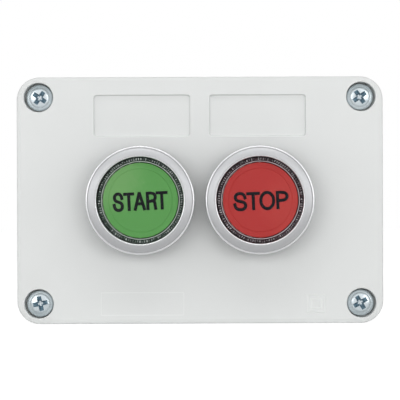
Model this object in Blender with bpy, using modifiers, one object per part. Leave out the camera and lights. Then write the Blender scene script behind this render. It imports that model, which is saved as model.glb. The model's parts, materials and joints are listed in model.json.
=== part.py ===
"""A two-button control station: a landscape moulded box with a START and a STOP push button.

The box is drawn in its own frame: x to the right, y up, and z out of the wall it is fixed to.
The empty called drawing_frame stands that frame up, so that the box's back lies in the world's
XZ plane and its buttons face -Y. Each button has an empty on its axis, with z = 0 on the cover's
face, and everything that slides is drawn round that axis. All sizes are in metres.
"""

import math

import bmesh
import bpy
from mathutils import Matrix, Vector

# Clearances
SEAT_GAP = 0.0003
STOP_CLEARANCE = 0.0004
CUT_MARGIN = 0.0010
WELD_DISTANCE = 0.000001

# Box
BOX_WIDTH = 0.1000
BOX_HEIGHT = 0.0674
BASE_DEPTH = 0.0400
COVER_DEPTH = 0.0177
CORNER_RADIUS = 0.0062
SIDE_WALL = 0.0030
BACK_WALL = 0.0030
FRONT_WALL = 0.0030
FACE_ROUND = 0.0010
BACK_ROUND = 0.0008

# Corner posts and cover screws
SCREW_INSET_X = 0.0061
SCREW_INSET_Y = 0.0055
POST_REACH = 0.0056
POST_ROUND = 0.0040
CAVITY_ROUND = 0.0020
COUNTERBORE_RADIUS = 0.0040
COUNTERBORE_DEPTH = 0.0064
SCREW_HEAD_RADIUS = 0.0036
SCREW_HEAD_HEIGHT = 0.0024
SCREW_RIM_HEIGHT = 0.0011
SCREW_SHANK_RADIUS = 0.00175
SCREW_LENGTH = 0.0220
SCREW_POINT = 0.0010
RECESS_REACH = 0.0022
RECESS_WIDTH = 0.0009
RECESS_DEPTH = 0.0015
SCREW_TURNS_DEG = (-35.0, 35.0, 12.0, 30.0)

# Rim seal
GROOVE_WIDTH = 0.0016
GROOVE_DEPTH = 0.0024
GASKET_HEIGHT = 0.0011

# Recesses in the cover's face
LABEL_WIDTH = 0.0265
LABEL_HEIGHT = 0.0115
LABEL_GAP = 0.0051
LABEL_INSET = 0.00455
LABEL_DEPTH = 0.0006
LABEL_ROUND = 0.0008
PLATE_WIDTH = 0.0226
PLATE_HEIGHT = 0.0060
PLATE_INSET = 0.0025
PLATE_DEPTH = 0.0002

# Back of the box
KNOCKOUT_RADIUS = 0.0102
KNOCKOUT_GROOVE = 0.0008
KNOCKOUT_CUT = 0.0018
FIXING_RADIUS = 0.0023
FIXING_COLLAR_WALL = 0.0021
FIXING_COLLAR_HEIGHT = 0.0015
FIXING_INSET_X = 0.0150
FIXING_INSET_Y = 0.0117

# Button head, from the legend disc outwards
LEGEND_RADIUS = 0.01025
LEGEND_THICKNESS = 0.0006
CAP_WALL = 0.0012
CAP_PLATE = 0.0012
CAP_CHAMFER = 0.0003
CAP_RECESS = 0.0004
BODY_RIM_WALL = 0.00155
BODY_RIM_HEIGHT = 0.0018
BODY_FLOOR = 0.0010
BEZEL_SKIRT = 0.00055
BEZEL_EDGE = 0.0002
BEZEL_CROWN = 0.0010
BEZEL_LIP = 0.0004
BEZEL_LIP_CHAMFER = 0.00015
BEZEL_GROOVE = 0.0002
BEZEL_GROOVE_DEPTH = 0.0003
BEZEL_SPACE = 0.0030
SEAL_THICKNESS = 0.0008

# Button works
BUTTON_TRAVEL = 0.0040
HEAD_THICKNESS = 0.0010
HEAD_LEDGE = 0.00095
SLEEVE_WALL = 0.0011
ROD_RADIUS = 0.0033
ROD_TIP_RADIUS = 0.0025
ROD_TIP = 0.0013
CLIP_GROOVE_RADIUS = 0.0019
CLIP_RADIUS = 0.0046
CLIP_THICKNESS = 0.0007
CLIP_MOUTH_DEG = 70.0
BARREL_WALL = 0.00125
SHELF_THICKNESS = 0.0020
SPRING_WIRE = 0.0008
SPRING_TURNS = 5.0
NUT_THICKNESS = 0.0050
NUT_WALL = 0.00235
COLLAR_GRIP = 0.0057
COLLAR_WALL = 0.00165
COLLAR_CHEEK = 0.00235
COLLAR_ROUND = 0.0030

# Contact block
HOOK_ROOM = 0.0007
HOOK_THICKNESS = 0.0010
HOOK_REACH = 0.0009
BLOCK_WIDTH = 0.0160
BLOCK_DEPTH = 0.0204
BLOCK_WALL = 0.0014
LID_THICKNESS = 0.0011
STEM_RADIUS = 0.0027
STEM_FLANGE = 0.0009
STEM_FLANGE_HEIGHT = 0.0008
PIN_RADIUS = 0.0012
PIN_HEAD_RADIUS = 0.0021
PIN_HEAD_HEIGHT = 0.0010
BRIDGE_THICKNESS = 0.0008
BRIDGE_WIDTH = 0.0044
CONTACT_SPRING_WIRE = 0.0005
CONTACT_SPRING_TURNS = 4.5
TIP_RADIUS = 0.0012
TIP_HEIGHT = 0.0006
STRIP_THICKNESS = 0.0008
STRIP_WIDTH = 0.0060
CLOSED_STRIP_DROP = 0.0030
OPEN_CONTACT_TRAVEL = 0.0024
CLOSED_LOST_MOTION = 0.0010
TERMINAL_INSET = 0.0036
TERMINAL_HEAD_RADIUS = 0.0023
TERMINAL_HEAD_HEIGHT = 0.0013
TERMINAL_SHANK_RADIUS = 0.0013
TERMINAL_SHANK = 0.0040
TERMINAL_SLOT = 0.0007
TERMINAL_ACCESS_RADIUS = 0.0027
WIRE_ENTRY = 0.0040

# Facets
CORNER_STEPS = 4
INNER_CORNER_STEPS = 2
ROUND_STEPS = 2
CROWN_STEPS = 3
RING_STEPS = 32
HIDDEN_STEPS = 24
SINK_STEPS = 18
SCREW_STEPS = 14
SMALL_STEPS = 10
COIL_STEPS = 8
SMOOTH_ANGLE = math.radians(35)

# Levels of the box, out from the wall
COVER_LOW = BASE_DEPTH + SEAT_GAP
FACE = COVER_LOW + COVER_DEPTH
SINK_FLOOR = FACE - COUNTERBORE_DEPTH
SCREW_X = BOX_WIDTH / 2 - SCREW_INSET_X
SCREW_Y = BOX_HEIGHT / 2 - SCREW_INSET_Y
GROOVE_MIDDLE = SIDE_WALL / 2
TONGUE_WIDTH = GROOVE_WIDTH - 2 * SEAT_GAP
LABEL_X = (LABEL_WIDTH + LABEL_GAP) / 2
LABEL_Y = BOX_HEIGHT / 2 - LABEL_INSET - LABEL_HEIGHT / 2
PLATE_Y = PLATE_INSET + PLATE_HEIGHT / 2 - BOX_HEIGHT / 2

# Radii of the button, from the legend disc outwards and from the sleeve outwards
POCKET_RADIUS = LEGEND_RADIUS + SEAT_GAP
CAP_RADIUS = POCKET_RADIUS + CAP_WALL
BEZEL_BORE = CAP_RADIUS + SEAT_GAP
RIM_INNER = BEZEL_BORE + SEAT_GAP
FLANGE_RADIUS = RIM_INNER + BODY_RIM_WALL
SKIRT_INNER = FLANGE_RADIUS + SEAT_GAP
BEZEL_RADIUS = SKIRT_INNER + BEZEL_SKIRT
BUTTON_X = BEZEL_RADIUS + BEZEL_SPACE / 2
SLEEVE_RADIUS = LEGEND_RADIUS - HEAD_LEDGE
SLEEVE_INNER = SLEEVE_RADIUS - SLEEVE_WALL
BARREL_BORE = SLEEVE_RADIUS + SEAT_GAP
BARREL_RADIUS = BARREL_BORE + BARREL_WALL
PANEL_HOLE = BARREL_RADIUS + SEAT_GAP
SPRING_RADIUS = (SLEEVE_INNER + ROD_RADIUS) / 2

# Levels of the button head, out from the cover's face
SEAL_LOW = SEAT_GAP
SEAL_HIGH = SEAL_LOW + SEAL_THICKNESS
FLANGE_LOW = SEAL_HIGH + SEAT_GAP
FLOOR_HIGH = FLANGE_LOW + BODY_FLOOR
RIM_HIGH = FLOOR_HIGH + BODY_RIM_HEIGHT
SHOULDER = RIM_HIGH + SEAT_GAP
HEAD_LOW = FLOOR_HIGH + BUTTON_TRAVEL + STOP_CLEARANCE
HEAD_HIGH = HEAD_LOW + HEAD_THICKNESS
LEGEND_LOW = HEAD_HIGH + SEAT_GAP
LEGEND_HIGH = LEGEND_LOW + LEGEND_THICKNESS
PLATE_LOW = LEGEND_HIGH + SEAT_GAP
CAP_HIGH = PLATE_LOW + CAP_PLATE
BEZEL_HIGH = CAP_HIGH + CAP_RECESS

# Levels of the button's works, inwards from the cover's face
NUT_HIGH = -FRONT_WALL - SEAT_GAP
NUT_LOW = NUT_HIGH - NUT_THICKNESS
HOOK_HIGH = NUT_LOW - HOOK_ROOM
HOOK_LOW = HOOK_HIGH - HOOK_THICKNESS
COLLAR_HIGH = HOOK_LOW - SEAT_GAP
BARREL_LOW = COLLAR_HIGH - COLLAR_GRIP
SHELF_HIGH = BARREL_LOW + SHELF_THICKNESS
SLEEVE_LOW = SHELF_HIGH + SEAT_GAP + BUTTON_TRAVEL + STOP_CLEARANCE
CLIP_HIGH = BARREL_LOW - SEAT_GAP
CLIP_LOW = CLIP_HIGH - CLIP_THICKNESS
ROD_LOW = CLIP_LOW - SEAT_GAP - ROD_TIP
STEM_HIGH = ROD_LOW - SEAT_GAP
BLOCK_HIGH = CLIP_LOW - BUTTON_TRAVEL - STOP_CLEARANCE - SEAT_GAP
COLLAR_LOW = BLOCK_HIGH + SEAT_GAP
BLOCK_LOW = BLOCK_HIGH - BLOCK_DEPTH
ROOM_HIGH = BLOCK_HIGH - BLOCK_WALL
ROOM_LOW = BLOCK_LOW + BLOCK_WALL
STEM_FLANGE_HIGH = ROOM_HIGH - SEAT_GAP
STEM_FLANGE_LOW = STEM_FLANGE_HIGH - STEM_FLANGE_HEIGHT
PIN_LOW = ROOM_LOW + SEAT_GAP + BUTTON_TRAVEL + STOP_CLEARANCE

# Plan of the contact block, out from the button's axis
COLLAR_BORE = BARREL_RADIUS + SEAT_GAP
COLLAR_Y = COLLAR_BORE + COLLAR_WALL
ROOM_Y = COLLAR_Y + SEAT_GAP
BLOCK_Y = ROOM_Y + BLOCK_WALL
ROOM_X = BLOCK_WIDTH / 2 - BLOCK_WALL
STEM_HOLE = STEM_RADIUS + SEAT_GAP
STEM_FLANGE_RADIUS = STEM_RADIUS + STEM_FLANGE
STRIP_START = STEM_FLANGE_RADIUS + SEAT_GAP
TIP_Y = STRIP_START + TIP_RADIUS + SEAT_GAP
BRIDGE_Y = TIP_Y + TIP_RADIUS
RISER_Y = BRIDGE_Y + SEAT_GAP
STRIP_END = ROOM_Y - SEAT_GAP
TERMINAL_Y = ROOM_Y - TERMINAL_INSET
PIN_HOLE = PIN_RADIUS + SEAT_GAP
CONTACT_SPRING_RADIUS = PIN_HOLE + CONTACT_SPRING_WIRE

# Levels of the contacts
FOOT_LOW = ROOM_LOW + SEAT_GAP + TERMINAL_HEAD_HEIGHT + SEAT_GAP
FOOT_HIGH = FOOT_LOW + STRIP_THICKNESS
OPEN_BRIDGE_LOW = FOOT_HIGH + TIP_HEIGHT + SEAT_GAP + OPEN_CONTACT_TRAVEL
CLOSED_STRIP_HIGH = ROOM_HIGH - CLOSED_STRIP_DROP
CLOSED_STRIP_LOW = CLOSED_STRIP_HIGH - STRIP_THICKNESS
CLOSED_BRIDGE_LOW = CLOSED_STRIP_LOW - TIP_HEIGHT - SEAT_GAP - BRIDGE_THICKNESS

PARTS = bpy.data.collections.new("pushbutton_control_station")
CUTTERS = bpy.data.collections.new("cutters")

# How a flat outline (a, b) with thickness t is laid along each axis of the drawing frame
LAY_ALONG = {
    "z": Matrix.Identity(4),
    "x": Matrix(((0, 0, 1, 0), (1, 0, 0, 0), (0, 1, 0, 0), (0, 0, 0, 1))),
    "y": Matrix(((0, 1, 0, 0), (0, 0, 1, 0), (1, 0, 0, 0), (0, 0, 0, 1))),
}


def clear_scene():
    """Remove what the scene already holds, and link the two collections."""
    for old in list(bpy.data.objects):
        bpy.data.objects.remove(old, do_unlink=True)
    bpy.context.scene.collection.children.link(PARTS)
    bpy.context.scene.collection.children.link(CUTTERS)


# Materials


def material(name, colour, roughness, metallic=0.0, transmission=0.0):
    """A Principled material of one colour, given as linear red, green and blue."""
    made = bpy.data.materials.new(name)
    made.use_nodes = True
    shader = made.node_tree.nodes["Principled BSDF"]
    shader.inputs["Base Color"].default_value = (*colour, 1.0)
    shader.inputs["Roughness"].default_value = roughness
    shader.inputs["Metallic"].default_value = metallic
    shader.inputs["Transmission Weight"].default_value = transmission
    made.diffuse_color = (*colour, 1.0)
    return made


COVER_PLASTIC = material("light_grey_abs", (0.72, 0.73, 0.71), 0.45)
SEAL_RUBBER = material("black_rubber", (0.03, 0.03, 0.03), 0.8)
ZINC_STEEL = material("zinc_plated_steel", (0.62, 0.66, 0.70), 0.3, 1.0)
SATIN_METAL = material("satin_aluminium", (0.68, 0.68, 0.69), 0.35, 1.0)
CLEAR_PLASTIC = material("clear_acrylic", (0.85, 0.87, 0.86), 0.08, 0.0, 0.8)
GREEN_PLASTIC = material("green_legend", (0.12, 0.32, 0.10), 0.4)
RED_PLASTIC = material("red_legend", (0.42, 0.05, 0.05), 0.4)
BLACK_NYLON = material("black_nylon", (0.03, 0.03, 0.035), 0.5)
WHITE_NYLON = material("white_nylon", (0.75, 0.75, 0.72), 0.5)
SPRING_STEEL = material("spring_steel", (0.50, 0.50, 0.52), 0.35, 1.0)
BRASS = material("brass", (0.70, 0.50, 0.20), 0.35, 1.0)


# Outlines


def arc(centre, radius, start, end, steps):
    """Points of an arc about a centre, from one angle in degrees to another."""
    angles = (math.radians(start + (end - start) * step / steps) for step in range(steps + 1))
    return [(centre[0] + radius * math.cos(a), centre[1] + radius * math.sin(a)) for a in angles]


def circle(x, y, radius, steps):
    """A closed outline of a circle."""
    return arc((x, y), radius, 0, 360 * (steps - 1) / steps, steps - 1)


def rounded(corners, steps):
    """A closed outline through corners (x, y, radius), with each corner turned into an arc."""
    outline = []
    for index, (x, y, radius) in enumerate(corners):
        here = Vector((x, y))
        if radius <= 0:
            outline.append((x, y))
            continue
        before = (Vector(corners[index - 1][:2]) - here).normalized()
        after = (Vector(corners[(index + 1) % len(corners)][:2]) - here).normalized()
        half = before.angle(after) / 2
        centre = here + (before + after).normalized() * radius / math.sin(half)
        first = here + before * radius / math.tan(half) - centre
        last = here + after * radius / math.tan(half) - centre
        start = math.degrees(math.atan2(first.y, first.x))
        sweep = math.degrees(math.atan2(first.cross(last), first.dot(last)))
        outline += arc(centre, radius, start, start + sweep, steps)
    return outline


def rectangle(x, y, width, height, radius=0.0):
    """A closed rectangle outline about its centre, with rounded corners."""
    right, top = x + width / 2, y + height / 2
    left, bottom = x - width / 2, y - height / 2
    corners = ((left, bottom), (right, bottom), (right, top), (left, top))
    return rounded([(*corner, radius) for corner in corners], CORNER_STEPS)


def inner_outline(offset):
    """The box's inner outline, which steps round the corner posts, moved outwards by an offset."""
    wide = BOX_WIDTH / 2 - SIDE_WALL + offset
    tall = BOX_HEIGHT / 2 - SIDE_WALL + offset
    post_x = SCREW_X - POST_REACH + offset
    post_y = SCREW_Y - POST_REACH + offset
    inside = CAVITY_ROUND + offset
    outside = POST_ROUND - offset
    quarter = [(wide, post_y, inside), (post_x, post_y, outside), (post_x, tall, inside)]
    corners = list(quarter)
    corners += [(-x, y, radius) for x, y, radius in reversed(quarter)]
    corners += [(-x, -y, radius) for x, y, radius in quarter]
    corners += [(x, -y, radius) for x, y, radius in reversed(quarter)]
    return rounded(corners, INNER_CORNER_STEPS)


def cross(reach, width):
    """A closed outline of a cross, for a driver recess."""
    half = width / 2
    arm = [(reach, -half), (reach, half), (half, half)]
    turns = (0, 90, 180, 270)
    points = [Matrix.Rotation(math.radians(turn), 2) @ Vector(point) for turn in turns for point in arm]
    return [(point.x, point.y) for point in points]


# Modelling helpers


def keep(obj, finish, parent):
    """Make an object one of the parts, with its material and its parent."""
    PARTS.objects.link(obj)
    obj.data.materials.append(finish)
    obj.parent = parent
    return obj


def cutter(obj, parent):
    """Make an object a cutter, which is not itself a part."""
    CUTTERS.objects.link(obj)
    obj.hide_render = True
    obj.display_type = "WIRE"
    obj.parent = parent
    return obj


def combine(obj, tool, operation="DIFFERENCE"):
    """Cut an object with a tool, or join the tool to it."""
    change = obj.modifiers.new(tool.name, "BOOLEAN")
    change.operation = operation
    change.solver = "EXACT"
    change.object = tool


def smooth(mesh):
    """Shade a mesh smooth, except where its faces meet at a clear edge."""
    mesh.shade_smooth()
    mesh.set_sharp_from_angle(angle=SMOOTH_ANGLE)


def prism(name, outlines, low, high, along="z"):
    """A flat outline, with any holes in it, made solid from one level to another."""
    curve = bpy.data.curves.new(name, "CURVE")
    curve.dimensions = "2D"
    curve.fill_mode = "BOTH"
    curve.extrude = (high - low) / 2
    for outline in outlines:
        spline = curve.splines.new("POLY")
        spline.points.add(len(outline) - 1)
        for point, (a, b) in zip(spline.points, outline):
            point.co = (a, b, 0.0, 1.0)
        spline.use_cyclic_u = True
    flat = bpy.data.objects.new(name, curve)
    PARTS.objects.link(flat)
    evaluated = flat.evaluated_get(bpy.context.evaluated_depsgraph_get())
    mesh = bpy.data.meshes.new_from_object(evaluated)
    mesh.transform(flat.matrix_world)
    bpy.data.objects.remove(flat)
    mesh.transform(LAY_ALONG[along] @ Matrix.Translation((0.0, 0.0, (low + high) / 2)))
    work = bmesh.new()
    work.from_mesh(mesh)
    bmesh.ops.remove_doubles(work, verts=work.verts, dist=WELD_DISTANCE)
    bmesh.ops.dissolve_limit(work, angle_limit=0.001, verts=work.verts, edges=work.edges)
    bmesh.ops.recalc_face_normals(work, faces=work.faces)
    work.to_mesh(mesh)
    work.free()
    smooth(mesh)
    return bpy.data.objects.new(name, mesh)


def round_rim(obj, level, radius):
    """Round the edge that runs round an object at one level."""
    work = bmesh.new()
    work.from_mesh(obj.data)
    rim = [e for e in work.edges if all(abs(v.co.z - level) < WELD_DISTANCE for v in e.verts)]
    bmesh.ops.bevel(
        work, geom=rim, offset=radius, segments=ROUND_STEPS, profile=0.5, affect="EDGES"
    )
    work.to_mesh(obj.data)
    work.free()
    smooth(obj.data)


def rod(name, x, y, radius, low, high, steps):
    """A round rod along z."""
    work = bmesh.new()
    place = Matrix.Translation((x, y, (low + high) / 2))
    bmesh.ops.create_cone(
        work,
        cap_ends=True,
        segments=steps,
        radius1=radius,
        radius2=radius,
        depth=high - low,
        matrix=place,
    )
    mesh = bpy.data.meshes.new(name)
    work.to_mesh(mesh)
    work.free()
    return bpy.data.objects.new(name, mesh)


def turned(name, profile, steps, closed):
    """A profile of (radius, level) points turned about z, closed for a ring, open for a solid."""
    work = bmesh.new()
    points = [work.verts.new((radius, 0.0, level)) for radius, level in profile]
    for first, second in zip(points, points[1:]):
        work.edges.new((first, second))
    if closed:
        work.edges.new((points[-1], points[0]))
    mesh = bpy.data.meshes.new(name)
    work.to_mesh(mesh)
    work.free()
    obj = bpy.data.objects.new(name, mesh)
    turn = obj.modifiers.new("turn", "SCREW")
    turn.axis = "Z"
    turn.angle = math.tau
    turn.steps = steps
    turn.render_steps = steps
    turn.use_merge_vertices = True
    turn.merge_threshold = WELD_DISTANCE
    return obj


def coil(name, radius, wire, low, high, turns):
    """A compression spring between two levels, with a nearly closed turn at each end."""
    bottom, top = low + wire / 2, high - wire / 2
    closed_rise = wire * 1.3
    open_rise = (top - bottom - 2 * closed_rise) / (turns - 2)
    curve = bpy.data.curves.new(name, "CURVE")
    curve.dimensions = "3D"
    curve.bevel_depth = wire / 2
    curve.bevel_resolution = 2
    curve.use_fill_caps = True
    count = round(turns * COIL_STEPS)
    spline = curve.splines.new("POLY")
    spline.points.add(count)
    for index, point in enumerate(spline.points):
        turn = turns * index / count
        start_part = min(turn, 1.0)
        end_part = max(turn - (turns - 1.0), 0.0)
        level = bottom + closed_rise * (start_part + end_part)
        level += open_rise * (turn - start_part - end_part)
        angle = math.tau * turn
        point.co = (radius * math.cos(angle), radius * math.sin(angle), level, 1.0)
    return bpy.data.objects.new(name, curve)


def axis_empty(name, x, y, z, parent):
    """An empty that carries pieces drawn about its own axis."""
    empty = bpy.data.objects.new(name, None)
    PARTS.objects.link(empty)
    empty.location = (x, y, z)
    empty.parent = parent
    return empty


# Box


def corner_places():
    """The four screw centres, top left, top right, bottom left and bottom right."""
    return {
        "top_left": (-SCREW_X, SCREW_Y),
        "top_right": (SCREW_X, SCREW_Y),
        "bottom_left": (-SCREW_X, -SCREW_Y),
        "bottom_right": (SCREW_X, -SCREW_Y),
    }


def make_base(frame):
    """The deep rear half: posts, gasket groove, wall fixings and cable entry knockouts."""
    outline = rectangle(0, 0, BOX_WIDTH, BOX_HEIGHT, CORNER_RADIUS)
    base = prism("rear_base", [outline], 0.0, BASE_DEPTH)
    round_rim(base, 0.0, BACK_ROUND)
    keep(base, COVER_PLASTIC, frame)
    room = prism("base_room", [inner_outline(0.0)], BACK_WALL, BASE_DEPTH + CUT_MARGIN)
    combine(base, cutter(room, frame))

    groove_outer = inner_outline(GROOVE_MIDDLE + GROOVE_WIDTH / 2)
    groove_inner = inner_outline(GROOVE_MIDDLE - GROOVE_WIDTH / 2)
    groove_floor = BASE_DEPTH - GROOVE_DEPTH
    groove = prism("base_groove", [groove_outer, groove_inner], groove_floor, BASE_DEPTH + CUT_MARGIN)
    combine(base, cutter(groove, frame))

    bore_low = SINK_FLOOR + SEAT_GAP - SCREW_LENGTH - STOP_CLEARANCE
    for place, (x, y) in corner_places().items():
        bore_radius = SCREW_SHANK_RADIUS + SEAT_GAP
        bore = rod("base_bore_" + place, x, y, bore_radius, bore_low, BASE_DEPTH + CUT_MARGIN, SCREW_STEPS)
        combine(base, cutter(bore, frame))

    fixing_x = BOX_WIDTH / 2 - FIXING_INSET_X
    fixing_y = BOX_HEIGHT / 2 - FIXING_INSET_Y
    for x in (-fixing_x, fixing_x):
        for y in (-fixing_y, fixing_y):
            collar_radius = FIXING_RADIUS + FIXING_COLLAR_WALL
            collar_high = BACK_WALL + FIXING_COLLAR_HEIGHT
            ring = rod("fixing_ring", x, y, collar_radius, BACK_WALL / 2, collar_high, SCREW_STEPS)
            combine(base, cutter(ring, frame), "UNION")
            hole = rod("fixing_hole", x, y, FIXING_RADIUS, -CUT_MARGIN, collar_high + CUT_MARGIN, SCREW_STEPS)
            combine(base, cutter(hole, frame))

    middle = BASE_DEPTH / 2
    for side in (-1, 1):
        outer, inner = side * (BOX_WIDTH / 2 + CUT_MARGIN), side * (BOX_WIDTH / 2 - KNOCKOUT_CUT)
        rings = knockout_rings(0.0, middle)
        ring = prism("knockout_side", rings, min(outer, inner), max(outer, inner), "x")
        combine(base, cutter(ring, frame))
    floor = -BOX_HEIGHT / 2
    rings = knockout_rings(middle, 0.0)
    ring = prism("knockout_bottom", rings, floor - CUT_MARGIN, floor + KNOCKOUT_CUT, "y")
    combine(base, cutter(ring, frame))


def knockout_rings(a, b):
    """The two circles of a knockout's groove."""
    outer = circle(a, b, KNOCKOUT_RADIUS, HIDDEN_STEPS)
    inner = circle(a, b, KNOCKOUT_RADIUS - KNOCKOUT_GROOVE, HIDDEN_STEPS)
    return [outer, inner]


def make_cover(frame):
    """The shallow front half: button holes, sunk screw holes and the recesses in its face."""
    outline = rectangle(0, 0, BOX_WIDTH, BOX_HEIGHT, CORNER_RADIUS)
    cover = prism("front_cover", [outline], COVER_LOW, FACE)
    round_rim(cover, FACE, FACE_ROUND)
    keep(cover, COVER_PLASTIC, frame)
    room = prism("cover_room", [inner_outline(0.0)], COVER_LOW - CUT_MARGIN, FACE - FRONT_WALL)
    combine(cover, cutter(room, frame))

    tongue_outer = inner_outline(GROOVE_MIDDLE + TONGUE_WIDTH / 2)
    tongue_inner = inner_outline(GROOVE_MIDDLE - TONGUE_WIDTH / 2)
    tongue_low = BASE_DEPTH - GROOVE_DEPTH + SEAT_GAP + GASKET_HEIGHT + SEAT_GAP
    tongue = prism("cover_tongue", [tongue_outer, tongue_inner], tongue_low, COVER_LOW + CUT_MARGIN)
    combine(cover, cutter(tongue, frame), "UNION")

    for place, (x, y) in corner_places().items():
        sink = rod("sink_" + place, x, y, COUNTERBORE_RADIUS, SINK_FLOOR, FACE + CUT_MARGIN, SINK_STEPS)
        combine(cover, cutter(sink, frame))
        hole_radius = SCREW_SHANK_RADIUS + SEAT_GAP
        hole_high = SINK_FLOOR + CUT_MARGIN
        hole = rod("hole_" + place, x, y, hole_radius, COVER_LOW - CUT_MARGIN, hole_high, SCREW_STEPS)
        combine(cover, cutter(hole, frame))

    for x in (-BUTTON_X, BUTTON_X):
        wall_low = FACE - FRONT_WALL - CUT_MARGIN
        hole = rod("button_hole", x, 0.0, PANEL_HOLE, wall_low, FACE + CUT_MARGIN, HIDDEN_STEPS)
        combine(cover, cutter(hole, frame))

    for x in (-LABEL_X, LABEL_X):
        label = rectangle(x, LABEL_Y, LABEL_WIDTH, LABEL_HEIGHT, LABEL_ROUND)
        recess = prism("label_recess", [label], FACE - LABEL_DEPTH, FACE + CUT_MARGIN)
        combine(cover, cutter(recess, frame))
    plate = rectangle(-LABEL_X, PLATE_Y, PLATE_WIDTH, PLATE_HEIGHT)
    recess = prism("plate_recess", [plate], FACE - PLATE_DEPTH, FACE + CUT_MARGIN)
    combine(cover, cutter(recess, frame))


def make_gasket(frame):
    """The soft ring that lies in the base's groove, under the cover's tongue."""
    outer = inner_outline(GROOVE_MIDDLE + TONGUE_WIDTH / 2)
    inner = inner_outline(GROOVE_MIDDLE - TONGUE_WIDTH / 2)
    low = BASE_DEPTH - GROOVE_DEPTH + SEAT_GAP
    keep(prism("cover_gasket", [outer, inner], low, low + GASKET_HEIGHT), SEAL_RUBBER, frame)


def make_cover_screw(frame, place, x, y, turn):
    """One cover screw: a domed head with a cross recess, in its sunk hole."""
    low = SINK_FLOOR + SEAT_GAP
    high = low + SCREW_HEAD_HEIGHT
    rim = low + SCREW_RIM_HEIGHT
    point = low - SCREW_LENGTH
    profile = [
        (0.0, high),
        (SCREW_HEAD_RADIUS * 0.55, high - (high - rim) * 0.22),
        (SCREW_HEAD_RADIUS * 0.85, rim + (high - rim) * 0.3),
        (SCREW_HEAD_RADIUS, rim),
        (SCREW_HEAD_RADIUS, low),
        (SCREW_SHANK_RADIUS, low),
        (SCREW_SHANK_RADIUS, point + SCREW_POINT),
        (SCREW_SHANK_RADIUS / 2, point),
        (0.0, point),
    ]
    screw = turned("cover_screw_" + place, profile, SCREW_STEPS, closed=False)
    keep(screw, ZINC_STEEL, frame)
    screw.location = (x, y, 0.0)
    screw.rotation_euler.z = math.radians(turn)
    arms = cross(RECESS_REACH, RECESS_WIDTH)
    recess = prism("recess_" + place, [arms], high - RECESS_DEPTH, high + CUT_MARGIN)
    combine(screw, cutter(recess, screw))


# Button head


def bezel_profile():
    """The bezel's section: crowned face, fine groove, outer lip, skirt and bore."""
    face_inner = BEZEL_BORE + BEZEL_EDGE
    face_outer = BEZEL_RADIUS - BEZEL_LIP - BEZEL_GROOVE
    lip_high = BEZEL_HIGH - BEZEL_CROWN
    face = []
    for step in range(CROWN_STEPS + 1):
        part = step / CROWN_STEPS
        face.append((face_inner + (face_outer - face_inner) * part, BEZEL_HIGH - BEZEL_CROWN * part**1.7))
    groove = [
        (face_outer, lip_high - BEZEL_GROOVE_DEPTH),
        (face_outer + BEZEL_GROOVE, lip_high - BEZEL_GROOVE_DEPTH),
        (face_outer + BEZEL_GROOVE, lip_high),
    ]
    lip = [(BEZEL_RADIUS - BEZEL_LIP_CHAMFER, lip_high), (BEZEL_RADIUS, lip_high - BEZEL_LIP_CHAMFER)]
    skirt = [
        (BEZEL_RADIUS, SEAT_GAP),
        (SKIRT_INNER, SEAT_GAP),
        (SKIRT_INNER, SHOULDER),
        (BEZEL_BORE, SHOULDER),
        (BEZEL_BORE, BEZEL_HIGH - BEZEL_EDGE),
    ]
    return face + groove + lip + skirt


def body_profile():
    """The actuator body's section: rim, floor, flange, barrel and inner shelf."""
    return [
        (BARREL_BORE, FLOOR_HIGH),
        (RIM_INNER, FLOOR_HIGH),
        (RIM_INNER, RIM_HIGH),
        (FLANGE_RADIUS, RIM_HIGH),
        (FLANGE_RADIUS, FLANGE_LOW),
        (BARREL_RADIUS, FLANGE_LOW),
        (BARREL_RADIUS, BARREL_LOW),
        (ROD_RADIUS + SEAT_GAP, BARREL_LOW),
        (ROD_RADIUS + SEAT_GAP, SHELF_HIGH),
        (BARREL_BORE, SHELF_HIGH),
    ]


def cap_profile():
    """The clear cap's section: a flat plate with a short skirt."""
    return [
        (0.0, CAP_HIGH),
        (CAP_RADIUS - CAP_CHAMFER, CAP_HIGH),
        (CAP_RADIUS, CAP_HIGH - CAP_CHAMFER),
        (CAP_RADIUS, HEAD_LOW),
        (POCKET_RADIUS, HEAD_LOW),
        (POCKET_RADIUS, PLATE_LOW),
        (0.0, PLATE_LOW),
    ]


def plunger_profile():
    """The plunger's section: head under the legend, guide sleeve, and rod with the clip's groove."""
    return [
        (0.0, HEAD_HIGH),
        (LEGEND_RADIUS, HEAD_HIGH),
        (LEGEND_RADIUS, HEAD_LOW),
        (SLEEVE_RADIUS, HEAD_LOW),
        (SLEEVE_RADIUS, SLEEVE_LOW),
        (SLEEVE_INNER, SLEEVE_LOW),
        (SLEEVE_INNER, HEAD_LOW),
        (ROD_RADIUS, HEAD_LOW),
        (ROD_RADIUS, CLIP_HIGH + SEAT_GAP),
        (CLIP_GROOVE_RADIUS, CLIP_HIGH + SEAT_GAP),
        (CLIP_GROOVE_RADIUS, CLIP_LOW - SEAT_GAP),
        (ROD_TIP_RADIUS, CLIP_LOW - SEAT_GAP),
        (ROD_TIP_RADIUS, ROD_LOW),
        (0.0, ROD_LOW),
    ]


def clip_outline():
    """The retaining clip: a ring with an open mouth that pushes over the rod's groove."""
    half = CLIP_MOUTH_DEG / 2
    outer = arc((0, 0), CLIP_RADIUS, half, 360 - half, SMALL_STEPS)
    inner = arc((0, 0), CLIP_GROOVE_RADIUS + SEAT_GAP, 360 - half, half, SMALL_STEPS)
    return outer + inner


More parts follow.
